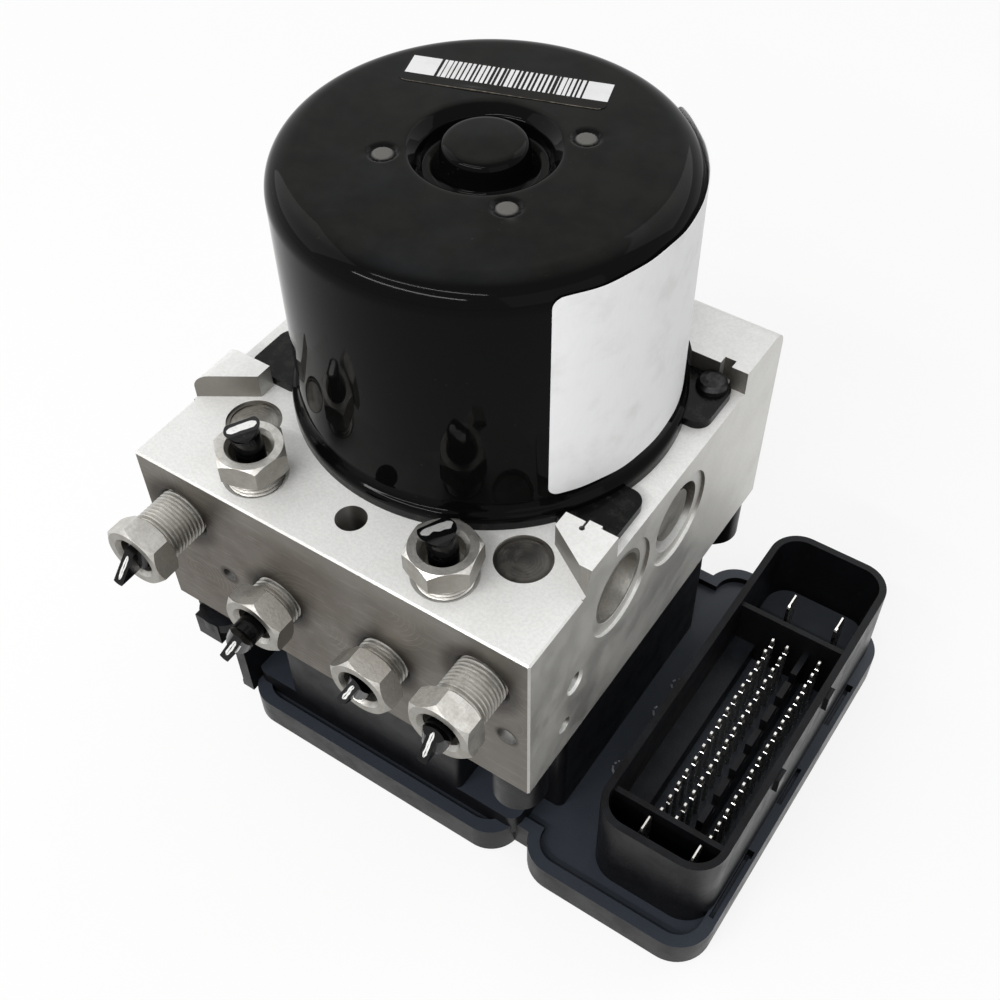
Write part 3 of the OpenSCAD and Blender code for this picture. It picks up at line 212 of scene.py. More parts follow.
def milled_aluminium(colour):
    """Extruded bar milled on every face: pale, swirl scratches on top, and painted shade that darkens the faces
    turned from the top, the right face most towards its front; the front face's dark brown is partly a road
    film and partly painted shade.
    """
    return finish("milled_aluminium", {}, colour, {
        "up": ("Normal", "Z", 0.5, 0.9),
        "front": ("Normal", "Y", -0.6, -0.98),
        "right": ("Normal", "X", 0.5, 0.95),
        "side": ("Normal", "Z", 0.5, 0.3),
        "forward": ("Object", "Y", 0.045, -0.05),
        "leftward": ("Object", "X", 0.05, -0.04),
        "high": ("Object", "Z", 0.084, 0.0925),
        "cloud": (14.0, 0.35, 0.7),
        "grain": (0.7, 0.3, 0.7, 2.0),
        "patches": (5.0, 0.25, 0.7),
    }, [
        ("cloud", 0.4, "#E0DFDC"),
        ("grain", 0.12, "#8F8D88"),
        ("fine up", 0.4, "#F6F6F5"),
        ("coarse up", 0.4, "#F6F6F5"),
        # Painted shade: faces turned from the top darker, the right face a little, and most towards its front
        ("side", 0.45, "#A9A8A3"),
        ("right", 0.1, "#A3A19B"),
        ("right forward", 0.4, "#8A8882"),
        # The front face's dark brown: partly a road film, partly painted shade
        ("front", 0.95, "#625E58"),
        ("front leftward", 0.55, "#564C42"),
        ("front patches", 0.3, "#77716A"),
        ("front high", 0.45, "#8D8B86"),
        ("front upright", 0.5, "#8C8882"),
        ("front drawn", 0.3, "#8F8B84"),
        # Darker round the front ports, a gouge and a hole
        ("darker_round", 0.75, "#2E2A26"),
    ], {"Roughness": ("cloud", 0.46, 0.6), "Metallic": ("up", 1.0, 0.15)}, ("grain", 0.012), milling_marks)


def dull_zinc(colour):
    """Turned steel with old zinc plating: warm grey, blotched, with sides and undersides darker and browner,
    partly a brown film and partly painted shade.
    """
    return finish("dull_zinc_plating", {"Metallic": 1.0}, colour, {
        "below": ("Normal", "Z", 0.7, -0.2),
        "blotch": (4.0, 0.35, 0.68),
        "grain": (0.6, 0.35, 0.7, 2.0),
    }, [
        ("blotch", 0.5, "#A5A29B"),
        ("grain", 0.22, "#86827A"),
        # Painted shade with a brown film: sides and undersides darker and browner
        ("below", 0.75, "#77736B"),
    ], {"Roughness": ("blotch", 0.36, 0.5)}, ("grain", 0.015))


# The lathe's feed marks, drawn coarser than the real ones so that they show
RING_SPACING = 0.7


def lathe_rings(tree, where):
    """Rings about each disc's middle, and its rim."""
    middles = [(at_block(*middle), 1.0) for middle in CLOSURES]
    gap, masks = near_places(tree, where, middles, {"rim": (4.6, 5.6)})
    turns = reckon(tree, "MULTIPLY", gap, 2 * math.pi / RING_SPACING)
    wave = reckon(tree, "SINE", turns)
    masks["rings"] = add(tree, "ShaderNodeMapRange", SMOOTH, {"Value": wave, "From Min": 0.5, "From Max": 1.0})
    return masks


def faced_steel():
    """Steel discs faced on a lathe and pressed in: fine rings, stains, dark where they meet the bore."""
    return finish("lathe_faced_steel", {"Metallic": 1.0}, linear("#8E8C87"), {
        "stain": (4.5, 0.4, 0.65),
        "rubbed": (2.5, 0.45, 0.7),
    }, [
        ("stain", 0.6, "#605C55"),
        ("rings rubbed", 0.5, "#C2C0BB"),
        ("rim", 0.6, "#4B4844"),
    ], {"Roughness": ("stain", 0.32, 0.5)}, ("rings", 0.01), lathe_rings)


# Staked dimples of the can's end: their angles about its axis in degrees, and their distance from it
DIMPLES = (-141, -44, 41)
DIMPLE_REACH = 19.1


def dimple_wear(tree, where):
    """The painted shade in the ring groove and the rubbed disc of each staked dimple."""
    middles = [(on_can(0.0, CAN_END, DIMPLE_REACH, angle), 1.0) for angle in DIMPLES]
    return near_places(tree, where, middles, {"worn": (2.3, 1.7), "pit": (3.3, 2.7)})[1]


def gloss_coating(name, colour, dusty):
    """Black electro-coat on drawn steel: deep gloss, faint waves, dust on what faces up, worn dimples with
    painted shade in their ring grooves.
    """
    return finish(name, {"Specular IOR Level": 0.05}, colour, {
        "up": ("Normal", "Z", 0.8, 1.0),
        "waves": (11.0, 0.2, 0.8, 1.0),
        "specks": (0.9, 0.7, 0.8, 3.0),
        "haze": (22.0, 0.45, 0.75, 3.0),
        "lying": (6.0, 0.3, 0.7),
    }, [
        ("up", 0.9, dusty),
        ("up lying", 0.25, "#2A2926"),
        ("up haze", 0.2, "#2B2F36"),
        ("specks", 0.35, "#4A4843"),
        # Painted shade in each dimple's ring groove
        ("pit", 0.85, "#0A0A0A"),
        ("worn", 0.9, "#696865"),
    ], {"Roughness": ("haze", 0.04, 0.09)}, ("waves", 0.01), dimple_wear)


def satin_coating():
    """Black coated sheet with dust in its corners."""
    return finish("satin_black_coating", {"Specular IOR Level": 0.15}, linear("#0B0B0C"), {
        "dust": (3.0, 0.45, 0.8),
    }, [("dust", 0.5, "#33322F")], {"Roughness": ("dust", 0.2, 0.42)}, ("dust", 0.03))


def moulded_plastic(colour):
    """Glass-filled nylon from a spark-eroded mould: near black, satin, with dust and rubbed corners, and paler
    blue-grey on upward faces low down, palest towards the back.
    """
    return finish("glass_filled_nylon", {"Specular IOR Level": 0.15}, colour, {
        "up": ("Normal", "Z", 0.3, 0.9),
        "backward": ("Object", "Y", -0.01, 0.05),
        "deep": ("Object", "Z", 0.02, 0.012),
        "dust": (6.0, 0.35, 0.75),
        "grain": (0.5, 0.3, 0.7, 2.0),
        "rubbed": (2.2, 0.6, 0.8),
    }, [
        ("dust up", 0.4, "#22252A"),
        # Upward faces low down paler blue-grey, palest towards the back
        ("deep up", 0.8, "#373C44"),
        ("backward up deep", 0.4, "#5C6066"),
        ("rubbed", 0.2, "#3B3A37"),
    ], {"Roughness": ("dust", 0.3, 0.45)}, ("grain", 0.012))


def pipe_coating():
    """Extruded nylon coat of a brake pipe: black and shiny, scuffed by the cutters."""
    return finish("pipe_nylon_coat", {"Specular IOR Level": 0.2}, linear("#050506"), {
        "scuff": (1.6, 0.58, 0.78),
    }, [("scuff", 0.2, "#3C3B39")], {"Roughness": ("scuff", 0.16, 0.4)}, ("scuff", 0.04))


def cut_steel():
    """Freshly sheared steel tube: bright, with shear marks."""
    return finish("sheared_steel", {"Metallic": 0.6}, linear("#EAEAE8"), {
        "marks": (0.9, 0.45, 0.8),
    }, [("marks", 0.5, "#98968F")], {"Roughness": ("marks", 0.3, 0.45)}, ("marks", 0.03))


def tinned_brass(colour):
    """Stamped brass with bright tin: pale tips, with painted shade on the sides where they stand between the
    walls.
    """
    return finish("tin_plated_brass", {"Metallic": 1.0}, colour, {
        "side": ("Normal", "Z", 0.35, 0.1),
        "tone": (1.5, 0.35, 0.7),
    }, [
        ("tone", 0.4, "#C9C6BE"),
        # Painted shade on the sides of pins and blades
        ("side", 0.6, "#4B4843"),
    ], {"Roughness": ("tone", 0.26, 0.38)}, ("tone", 0.01))


def label_film(colour):
    """White polypropylene label: matt, faintly creased and soiled."""
    return finish("white_label_film", {"Specular IOR Level": 0.3}, colour, {
        "soil": (8.0, 0.45, 0.8),
        "spots": (1.3, 0.68, 0.78),
        "creases": (5.0, 0.3, 0.7, 2.0),
    }, [
        ("soil", 0.5, "#CBCAC7"),
        ("spots", 0.3, "#A9A7A0"),
    ], {"Roughness": ("soil", 0.5, 0.62)}, ("creases", 0.05))


def plain_finish(name, colour, second, metallic, roughness, size):
    """Finish of an inner piece: two tones in patches of one size, with the grain of its making."""
    return finish(name, {"Metallic": metallic}, linear(colour), {
        "tone": (size, 0.35, 0.65),
    }, [("tone", 1.0, second)], {"Roughness": ("tone", roughness, roughness + 0.1)}, ("tone", 0.01))


INNER_FINISHES = {
    "steel": ("ground_bearing_steel", "#A9A9AA", "#96969A", 1.0, 0.25, 2.0),
    "spring_steel": ("drawn_spring_wire", "#77777B", "#5F5F63", 1.0, 0.35, 1.0),
    "ferrite": ("sintered_ferrite", "#3A3A3D", "#2E2E30", 0.0, 0.6, 1.5),
    "laminations": ("stamped_core_sheet", "#6E6E70", "#58585A", 1.0, 0.45, 1.0),
    "copper": ("enamelled_copper", "#B56A35", "#96522A", 1.0, 0.3, 0.8),
    "carbon": ("pressed_carbon", "#222222", "#191919", 0.0, 0.7, 0.5),
    "inner_plastic": ("unfilled_nylon", "#3B3A38", "#31302F", 0.0, 0.5, 2.0),
    "rubber": ("seal_rubber", "#1B1B1B", "#141414", 0.0, 0.65, 1.0),
    "board": ("board_laminate", "#1F5A36", "#184A2C", 0.0, 0.4, 3.0),
    "components": ("component_epoxy", "#1E1E20", "#262628", 0.0, 0.5, 1.0),
}
PHOSPHATED = ("phosphated_steel", "#3A3A3B", "#2A2A2B", 1.0, 0.35, 1.5)
LABEL_INK = ("faded_label_ink", "#3E3E3E", "#555553", 0.0, 0.6, 1.0)
GLUE_EDGE = ("dusty_glue_edge", "#6E665A", "#3A362F", 0.0, 0.6, 1.2)
# Painted highlight: the pale grey of the ejector rings' raised arcs
HIGHLIT_RING_EDGE = ("nylon_ring_painted_highlight", "#8A8D90", "#6A6D70", 0.0, 0.3, 0.8)


def new_piece(name, mesh, material):
    """An object at the origin, with the material added to its mesh if one is given."""
    piece = bpy.data.objects.new(name, mesh)
    bpy.context.scene.collection.objects.link(piece)
    if material:
        mesh.materials.append(material)
    return piece


def closed_mesh(name, points, faces):
    """A mesh of closed shells whose faces point outwards."""
    mesh = bpy.data.meshes.new(name)
    mesh.from_pydata(points, [], faces)
    built = bmesh.new()
    built.from_mesh(mesh)
    bmesh.ops.remove_doubles(built, verts=built.verts, dist=1e-7)
    bmesh.ops.recalc_face_normals(built, faces=built.faces)
    built.to_mesh(mesh)
    built.free()
    return mesh


def sheet_mesh(name, front, back):
    """A thin closed sheet between two grids of points."""
    rows, columns = len(front), len(front[0])
    points = [p for grid in (front, back) for row in grid for p in row]
    faces = []
    for side in (0, rows * columns):
        for i in range(rows - 1):
            for j in range(columns - 1):
                first = side + i * columns + j
                faces.append((first, first + 1, first + columns + 1, first + columns))
    rim = [(0, j) for j in range(columns)] + [(i, columns - 1) for i in range(1, rows)]
    rim += [(rows - 1, j) for j in range(columns - 2, -1, -1)] + [(i, 0) for i in range(rows - 2, 0, -1)]
    rim = [i * columns + j for i, j in rim]
    for here, following in zip(rim, rim[1:] + rim[:1]):
        faces.append((here, following, following + rows * columns, here + rows * columns))
    return closed_mesh(name, points, faces)


def lofted_mesh(name, solids):
    """A mesh of solids, each given as its sections: loops of points, equally many in each."""
    points, faces = [], []
    for sections in solids:
        start, turn = len(points), len(sections[0])
        points += [p for section in sections for p in section]
        for i in range(len(sections) - 1):
            for j in range(turn):
                first, second = start + i * turn + j, start + i * turn + (j + 1) % turn
                faces.append((first, second, second + turn, first + turn))
        last = start + (len(sections) - 1) * turn
        faces.append(tuple(range(start, start + turn)))
        faces.append(tuple(range(last, last + turn)))
    return closed_mesh(name, points, faces)


def grown_mesh(name, material, sizes, grow):
    """The plain mesh of a node tree: grow makes its geometry, and sizes are its named inputs."""
    tree = bpy.data.node_groups.new(name, "GeometryNodeTree")
    keys = {}
    for label, value in sizes.items():
        kind = "NodeSocketInt" if isinstance(value, int) else "NodeSocketFloat"
        keys[label] = tree.interface.new_socket(name=label, in_out="INPUT", socket_type=kind).identifier
    tree.interface.new_socket(name="Geometry", in_out="OUTPUT", socket_type="NodeSocketGeometry")
    given = add(tree, "NodeGroupInput")
    whole = add(tree, "GeometryNodeRealizeInstances", None, {0: grow(tree, given.outputs)})
    dressed = add(tree, "GeometryNodeSetMaterial", None, {"Geometry": whole, "Material": material})
    add(tree, "NodeGroupOutput", None, {0: dressed})
    carrier = new_piece(name + "_carrier", bpy.data.meshes.new(name + "_carrier"), None)
    modifier = carrier.modifiers.new("grown", "NODES")
    modifier.node_group = tree
    for label, value in sizes.items():
        modifier[keys[label]] = value
    seen = carrier.evaluated_get(bpy.context.evaluated_depsgraph_get())
    mesh = bpy.data.meshes.new_from_object(seen)
    mesh.name = name
    carrier.modifiers.remove(modifier)
    bpy.data.objects.remove(carrier)
    return mesh


def finished(name, mesh, material, slot, *replaced):
    """A piece on the module's body, with the CAD nodes that it stands for hidden; its slot is not used."""
    piece = new_piece(name, mesh, None if mesh.materials else material)
    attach(piece, "module")
    if replaced:
        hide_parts(*replaced)
    return piece


# The camera looks at this place of the block; its sensor is in millimetres, its shift a share of the frame
AIM = (68.9, 40.0, 20.0)
SENSOR = 36.0
SHIFT = (-0.01067, 0.05097)
# Lamps: the group that gives the power, the share of it, place and size
LAMPS = {
    "low_strip": ("strips", 1.0, (-0.1, -1.0, 0.75), (1.15, 0.045)),
    "high_strip": ("strips", 0.7, (0.0, -0.85, 1.15), (1.15, 0.03)),
    "left_panel": ("panels", 1.0, (-1.1, -0.2, 0.8), (1.2, 0.9)),
    "right_panel": ("panels", 0.5, (1.2, -0.5, 0.6), (1.2, 0.9)),
    "back_panel": ("panels", 1.0, (0.4, 1.1, 1.0), (1.2, 0.9)),
}
LAMP_AIM = Vector((0, 0, 0.07))
FLOOR_REACH = 4.0
FLOOR_GLOW = 0.8


def colour_setting(name, description, value):
    """A colour in the panel, given as a hex value."""
    return FloatVectorProperty(name=name, description=description, subtype="COLOR", size=4,
                               default=linear(value))


def length_setting(name, description, size):
    """A length in the panel, given in millimetres."""
    return FloatProperty(name=name, description=description, default=size * MM, unit="LENGTH")


class ModulatorStage(bpy.types.PropertyGroup):
    """The camera, the lamps and the room."""
    azimuth: FloatProperty(name="Azimuth", description="Camera's turn from the front face",
                           default=0.5975, subtype="ANGLE")
    elevation: FloatProperty(name="Elevation", description="Camera's angle above the floor",
                             default=0.8902, subtype="ANGLE")
    roll: FloatProperty(name="Roll", description="Camera's turn about its view", default=-0.01226,
                        subtype="ANGLE")
    distance: FloatProperty(name="Distance", description="Camera to the point it looks at",
                            default=0.295, unit="LENGTH")
    lens: FloatProperty(name="Lens", description="Focal length in millimetres", default=47.144)
    strips: FloatProperty(name="Strips", description="Power of the lower long lamp in front",
                          default=7.0, unit="POWER")
    panels: FloatProperty(name="Panels", description="Power of each broad lamp", default=4.5, unit="POWER")
    room: FloatProperty(name="Room", description="Strength of the plain light all round", default=0.4)


class ModulatorColours(bpy.types.PropertyGroup):
    """Base colours of the finishes in view."""
    aluminium: colour_setting("Aluminium", "Milled faces of the block", "#F0F0EE")
    zinc: colour_setting("Zinc", "Plating of nuts, caps and screws", "#CECCC7")
    coating: colour_setting("Coating", "Electro-coat of the can", "#070707")
    plastic: colour_setting("Plastic", "Housing and cover", "#0C0C0E")
    label: colour_setting("Label", "Label stock", "#E2E2E3")
    tin: colour_setting("Tin", "Plating of pins and blades", "#EDEBE6")


class ModulatorLabels(bpy.types.PropertyGroup):
    """Sizes of the two labels."""
    corner: length_setting("Corner", "Corner radius of the side label", 2.3)
    wave: length_setting("Wave", "How far the side label's cut edge wanders", 0.22)
    bars: IntProperty(name="Bars", description="Number of printed bars", default=30)
    bar_height: length_setting("Bar height", "Height of the printed bars", 6.2)
    seed: IntProperty(name="Seed", description="Choice of bar widths", default=5)


class ModulatorCan(bpy.types.PropertyGroup):
    """Sizes of the drawn can."""
    wall: length_setting("Wall", "Thickness of the sheet", 1.6)
    shoulder: length_setting("Shoulder", "Radius of the rounded end corner", 6.0)
    segments: IntProperty(name="Segments", description="Steps round the can", default=256)


class ModulatorContacts(bpy.types.PropertyGroup):
    """Sizes of the connector's pins and blades."""
    pin_width: length_setting("Pin width", "Side of a square pin", 0.8)
    pitch: length_setting("Pitch", "Step between pins", 3.98)
    per_row: IntProperty(name="Pins per row", description="Pins in each row", default=15)
    tip: length_setting("Tip", "Length of a pin's taper", 0.5)


class MODULATOR_OT_stage(bpy.types.Operator):
    """Sets the camera, lamps, room light and floor"""
    bl_idname = "modulator.stage"
    bl_label = "Stage"

    def execute(self, context):
        sizes = context.scene.modulator_stage
        scene = context.scene
        az, el = sizes.azimuth, sizes.elevation
        back = Vector((math.cos(el) * math.sin(az), -math.cos(el) * math.cos(az), math.sin(el)))
        right = (-back).cross(Vector((0, 0, 1))).normalized()
        up = back.cross(right)
        cos_roll, sin_roll = math.cos(sizes.roll), math.sin(sizes.roll)
        side = right * cos_roll + up * sin_roll
        top = up * cos_roll - right * sin_roll
        data = bpy.data.cameras.new("photo_camera")
        data.lens = sizes.lens
        data.sensor_width = SENSOR
        data.shift_x, data.shift_y = SHIFT
        camera = bpy.data.objects.new("photo_camera", data)
        scene.collection.objects.link(camera)
        turned = Matrix((side, top, back)).transposed().to_4x4()
        camera.matrix_world = Matrix.Translation(at_block(*AIM) + back * sizes.distance) @ turned
        scene.camera = camera
        scene.view_settings.view_transform = "Standard"
        for name, (group, share, place, size) in LAMPS.items():
            self.lamp(scene, name, place, size, getattr(sizes, group) * share)
        self.room(scene, sizes.room)
        self.floor()
        return {"FINISHED"}

    def lamp(self, scene, name, place, size, power):
        data = bpy.data.lights.new(name, "AREA")
        data.shape = "RECTANGLE"
        data.size, data.size_y = size
        data.energy = power
        lamp = bpy.data.objects.new(name, data)
        lamp.location = place
        toward = LAMP_AIM - Vector(place)
        lamp.rotation_euler = toward.to_track_quat("-Z", "Y").to_euler()
        scene.collection.objects.link(lamp)

    def room(self, scene, strength):
        world = bpy.data.worlds.new("plain_room")
        tree = emptied(world)
        rays = add(tree, "ShaderNodeLightPath").outputs
        seen = reckon(tree, "MAXIMUM", rays["Is Camera Ray"], rays["Is Glossy Ray"])
        seen = reckon(tree, "MAXIMUM", seen, rays["Is Transmission Ray"])
        light = add(tree, "ShaderNodeBackground", None, {"Color": [1, 1, 1, 1], "Strength": strength})
        white = add(tree, "ShaderNodeBackground", None, {"Color": [1, 1, 1, 1], "Strength": 1.0})
        mixed = add(tree, "ShaderNodeMixShader", None, {0: seen, 1: light, 2: white})
        add(tree, "ShaderNodeOutputWorld", None, {"Surface": mixed})
        scene.world = world

    def floor(self):
        corners = [(x * FLOOR_REACH, y * FLOOR_REACH, 0) for x, y in ((-1, -1), (1, -1), (1, 1), (-1, 1))]
        mesh = bpy.data.meshes.new("studio_floor")
        mesh.from_pydata(corners, [], [(0, 1, 2, 3)])
        material = bpy.data.materials.new("pale_paper_floor")
        tree = emptied(material)
        rays = add(tree, "ShaderNodeLightPath").outputs
        paper = add(tree, "ShaderNodeBsdfDiffuse", None, {"Color": linear("#F4F4F4")})
        glow = add(tree, "ShaderNodeEmission", None, {"Color": [1, 1, 1, 1], "Strength": 1.0})
        seen = reckon(tree, "MAXIMUM", rays["Is Camera Ray"], rays["Is Glossy Ray"])
        share = reckon(tree, "MULTIPLY", seen, FLOOR_GLOW)
        mixed = add(tree, "ShaderNodeMixShader", None, {0: share, 1: paper, 2: glow})
        add(tree, "ShaderNodeOutputMaterial", None, {"Surface": mixed})
        new_piece("studio_floor", mesh, material)


class MODULATOR_OT_finishes(bpy.types.Operator):
    """Gives every CAD piece the finish of its real material"""
    bl_idname = "modulator.finishes"
    bl_label = "Finishes"

    def execute(self, context):
        colours = context.scene.modulator_colours
        finishes = {
            "machined_aluminium": milled_aluminium(colours.aluminium),
            "zinc_steel": dull_zinc(colours.zinc),
            "coated_pipe": pipe_coating(),
            "black_can": gloss_coating("black_electrocoat", colours.coating, "#1B1A19"),
            "black_plate": satin_coating(),
            "housing_plastic": moulded_plastic(colours.plastic),
            "tinned_brass": tinned_brass(colours.tin),
            "label_white": label_film(colours.label),
            "label_film": gloss_coating("clear_film_on_coating", colours.coating, "#1D1C1A"),
        }
        for slot, values in INNER_FINISHES.items():
            finishes[slot] = plain_finish(*values)
        own = {
            "closure_discs": faced_steel(),
            "motor_screws": plain_finish(*PHOSPHATED),
        }
        for node, piece in nodes.items():
            piece.data.materials.clear()
            piece.data.materials.append(own.get(node, finishes[slots[node]]))
        return {"FINISHED"}


def wander(s, phase):
    """A slow uneven wave from -1 to 1 along an edge, s in millimetres."""
    return 0.6 * math.sin(s / 4.1 + phase) + 0.4 * math.sin(s / 1.7 + 2.3 * phase)


def cut_outline(s, share, length, height, corner, wave, phase):
    """Height on a label at s along it, from its lower edge (0) to its upper edge (1), corners rounded."""
    inside = corner - min(s, length - s)
    inset = corner - math.sqrt(max(corner ** 2 - max(inside, 0) ** 2, 0))
    low = inset + wave * wander(s, phase)
    high = height - inset + wave * wander(s, phase + 1.9)
    return low + share * (high - low)


def crowded(count, length):
    """Steps along a label that lie closer at its two ends, where its corners curve."""
    return [length * (0.5 - 0.5 * math.cos(math.pi * i / count)) for i in range(count + 1)]


def on_can(s, z, radius, start):
    """A place on the can's wall, s in millimetres round it from a start angle."""
    turn = math.radians(start) + s / CAN_RADIUS
    return at_block(MOTOR_AXIS[0] + radius * math.cos(turn), MOTOR_AXIS[1] + radius * math.sin(turn), z)


def eased(corners, cut):
    """A line of corners (r, z) with each corner rounded over the cut, in millimetres."""
    points = [corners[0]]
    for before, here, after in zip(corners, corners[1:], corners[2:]):
        reach = [min(cut, 0.45 * math.dist(here, end)) / math.dist(here, end) for end in (before, after)]
        near, far = ([h + (e - h) * share for h, e in zip(here, end)]
                     for end, share in zip((before, after), reach))
        for t in (0.0, 0.25, 0.5, 0.75, 1.0):
            points.append([(1 - t) ** 2 * n + 2 * t * (1 - t) * h + t * t * f
                           for n, h, f in zip(near, here, far)])
    return points + [corners[-1]]


# Each dimple: its rim and the edge of its raised disc, as radius and width, with the depth each adds
DIMPLE_STEPS = ((3.1, 0.6, 0.5), (2.3, 0.5, -0.35))


def dimple_depth(x, y):
    """How far the can's end is pressed in at a place about its axis."""
    middles = [(DIMPLE_REACH * math.cos(math.radians(a)), DIMPLE_REACH * math.sin(math.radians(a)))
               for a in DIMPLES]
    away = min(math.dist((x, y), middle) for middle in middles)
    depth = 0.0
    for radius, width, drop in DIMPLE_STEPS:
        share = min(max((radius - away) / width, 0.0), 1.0)
        depth += drop * share * share * (3 - 2 * share)
    return depth


# Corners of the can's end from its axis outwards: radius, and height over the end's flat
BOSS_CORNERS = [(0.0, 1.5), (8.2, 1.5), (9.2, -3.2), (10.4, -4.4), (11.2, -4.4)]
GROOVE_CORNERS = [(11.2, -4.4), (12.1, -4.4), (12.9, -2.0), (14.9, -0.1), (15.9, 0.0)]
# The inside under the boss, from the wall inwards: radius, and height over the end's inner flat
INNER_CORNERS = [(15.4, 0.0), (13.6, -4.4), (6.6, -4.4), (6.6, 1.2), (0.0, 1.2)]
BOSS_EASE = 1.6
EDGE_EASE = 0.5
SHARP_ANGLE = 40


class MODULATOR_OT_can_shell(bpy.types.Operator):
    """Turns the drawn can on its axis, with its soft groove, round boss and staked dimples"""
    bl_idname = "modulator.can_shell"
    bl_label = "Can shell"

    def execute(self, context):
        sizes = context.scene.modulator_can
        turns = sizes.segments
        wall, shoulder = sizes.wall / MM, sizes.shoulder / MM
        top, foot, outer, inner = CAN_END, BLOCK_TOP + PLATE, CAN_RADIUS, CAN_RADIUS - wall
        profile = eased([(r, top + h) for r, h in BOSS_CORNERS], BOSS_EASE)
        profile += eased([(r, top + h) for r, h in GROOVE_CORNERS], EDGE_EASE)[1:]
        profile += [(15.9 + 0.4 * i, top) for i in range(1, 17)]
        profile += [(22.5 + 1.9 * i, top) for i in range(1, 7)]
        profile += self.shoulder(outer, top, shoulder)
        profile += eased([(outer, top - shoulder - 1), (outer, foot + 4), (outer + 0.5, foot + 2.4),
                          (FLANGE_RADIUS - 0.2, foot + 1.5), (FLANGE_RADIUS, foot + 0.8),
                          (FLANGE_RADIUS, foot)], EDGE_EASE)
        profile += [(inner, foot)]
        profile += self.shoulder(inner, top - wall, shoulder - wall)[::-1]
        profile += [(r, top - wall + h) for r, h in INNER_CORNERS]
        points, faces = [], []
        for r, z in profile:
            for j in range(turns):
                turn = 2 * math.pi * j / turns
                x, y = r * math.cos(turn), r * math.sin(turn)
                pressed = dimple_depth(x, y) if z == top else 0.0
                points.append(at_block(MOTOR_AXIS[0] + x, MOTOR_AXIS[1] + y, z - pressed))
        for i in range(len(profile) - 1):
            for j in range(turns):
                here, following = i * turns + j, i * turns + (j + 1) % turns
                faces.append((here, following, following + turns, here + turns))
        mesh = closed_mesh("can_shell", points, faces)
        mesh.shade_smooth()
        mesh.set_sharp_from_angle(angle=math.radians(SHARP_ANGLE))
        coat = gloss_coating("black_electrocoat_on_can", context.scene.modulator_colours.coating, "#151514")
        finished("can_shell", mesh, coat, "black_can", "motor_can")
        return {"FINISHED"}

    def shoulder(self, radius, top, bend):
        """The rounded corner between the end and the wall, from the end outwards."""
        turns = [math.radians(a) for a in range(90, -1, -5)]
        return [(radius - bend + bend * math.cos(t), top - bend + bend * math.sin(t)) for t in turns]


def printed_bars(tree, given):
    """Upright bars of uneven width on a straight line."""
    step = add(tree, "ShaderNodeCombineXYZ", None, {"X": given["Pitch"]})
    line = add(tree, "GeometryNodeMeshLine", None, {"Count": given["Bars"], "Offset": step})
    widths = add(tree, "FunctionNodeRandomValue", None, {"Min": 0.15, "Max": 0.95, "Seed": given["Seed"]})
    widths = next(out for out in widths.outputs if out.enabled)
    size = add(tree, "ShaderNodeCombineXYZ", None, {
        "X": given["Pitch"], "Y": given["Height"], "Z": given["Thickness"]})
    bar = add(tree, "GeometryNodeMeshCube", None, {"Size": size})
    scale = add(tree, "ShaderNodeCombineXYZ", None, {"X": widths, "Y": 1.0, "Z": 1.0})
    return add(tree, "GeometryNodeInstanceOnPoints", None, {"Points": line, "Instance": bar.outputs["Mesh"],
                                                            "Scale": scale})


# The side label's lower and upper edge, its start and turn round the can, and its faces over the can's wall
SIDE_LABEL_EDGES = (54.5, 104.5)
SIDE_LABEL_START = -40.0
SIDE_LABEL_TURN = 100.0
SIDE_LABEL_FACES = (0.2, 0.06)
# Its column of bars: how far before the label's end, and how far over its lower edge
SIDE_BARS_AT = (6.5, 7.5)


class MODULATOR_OT_side_label(bpy.types.Operator):
    """Puts the blank white label round the can, with a generic column of bars at its far end"""
    bl_idname = "modulator.side_label"
    bl_label = "Side label"

    def execute(self, context):
        sizes = context.scene.modulator_labels
        low, high = SIDE_LABEL_EDGES
        start, length = SIDE_LABEL_START, math.radians(SIDE_LABEL_TURN) * CAN_RADIUS
        corner, wave = sizes.corner / MM, sizes.wave / MM
        shares = [j / 10 for j in range(11)]
        grids = []
        for over in SIDE_LABEL_FACES:
            grids.append([[on_can(s, low + cut_outline(s, t, length, high - low, corner, wave, 0.4),
                                  CAN_RADIUS + over, start) for t in shares] for s in crowded(90, length)])
        film = label_film(context.scene.modulator_colours.label)
        finished("side_label_sheet", sheet_mesh("side_label_sheet", *grids), film, "label_white", "side_label")
        ink = plain_finish(*LABEL_INK)
        mesh = grown_mesh("side_label_bars", ink, {
            "Pitch": 1.9 * MM, "Bars": 20, "Height": 3.4 * MM, "Thickness": 0.02 * MM, "Seed": sizes.seed + 4,
        }, printed_bars)
        for vertex in mesh.vertices:
            across, along, out = vertex.co.y / MM, vertex.co.x / MM, vertex.co.z / MM
            vertex.co = on_can(length - SIDE_BARS_AT[0] + across, low + SIDE_BARS_AT[1] + along,
                               CAN_RADIUS + SIDE_LABEL_FACES[0] + out, start)
        finished("side_label_bars", mesh, ink, "label_white")
        return {"FINISHED"}


# The top label's middle, turn, length, width and corner, then the print's lower edge, the bars' start and
# span along it, and the ends of the two white blocks
TOP_LABEL_AT = (42.2, 79.6, CAN_END)
TOP_LABEL_TURN = 17.7
TOP_LABEL_SIZE = (42.0, 9.6, 1.6)
PRINT_LOW = -2.0
BARS_START = -13.9
BARS_SPAN = 29.4
WHITE_BLOCKS = ((-20.3, -14.3), (15.8, 20.9))
# Heights over the can's end: the film's faces, the print's middle, the white blocks' and the glue's faces
FILM_FACES = (0.12, 0.01)
PRINT_RISE = 0.125
BLOCK_FACES = (0.11, 0.14)
GLUE_FACES = (0.08, 0.15)
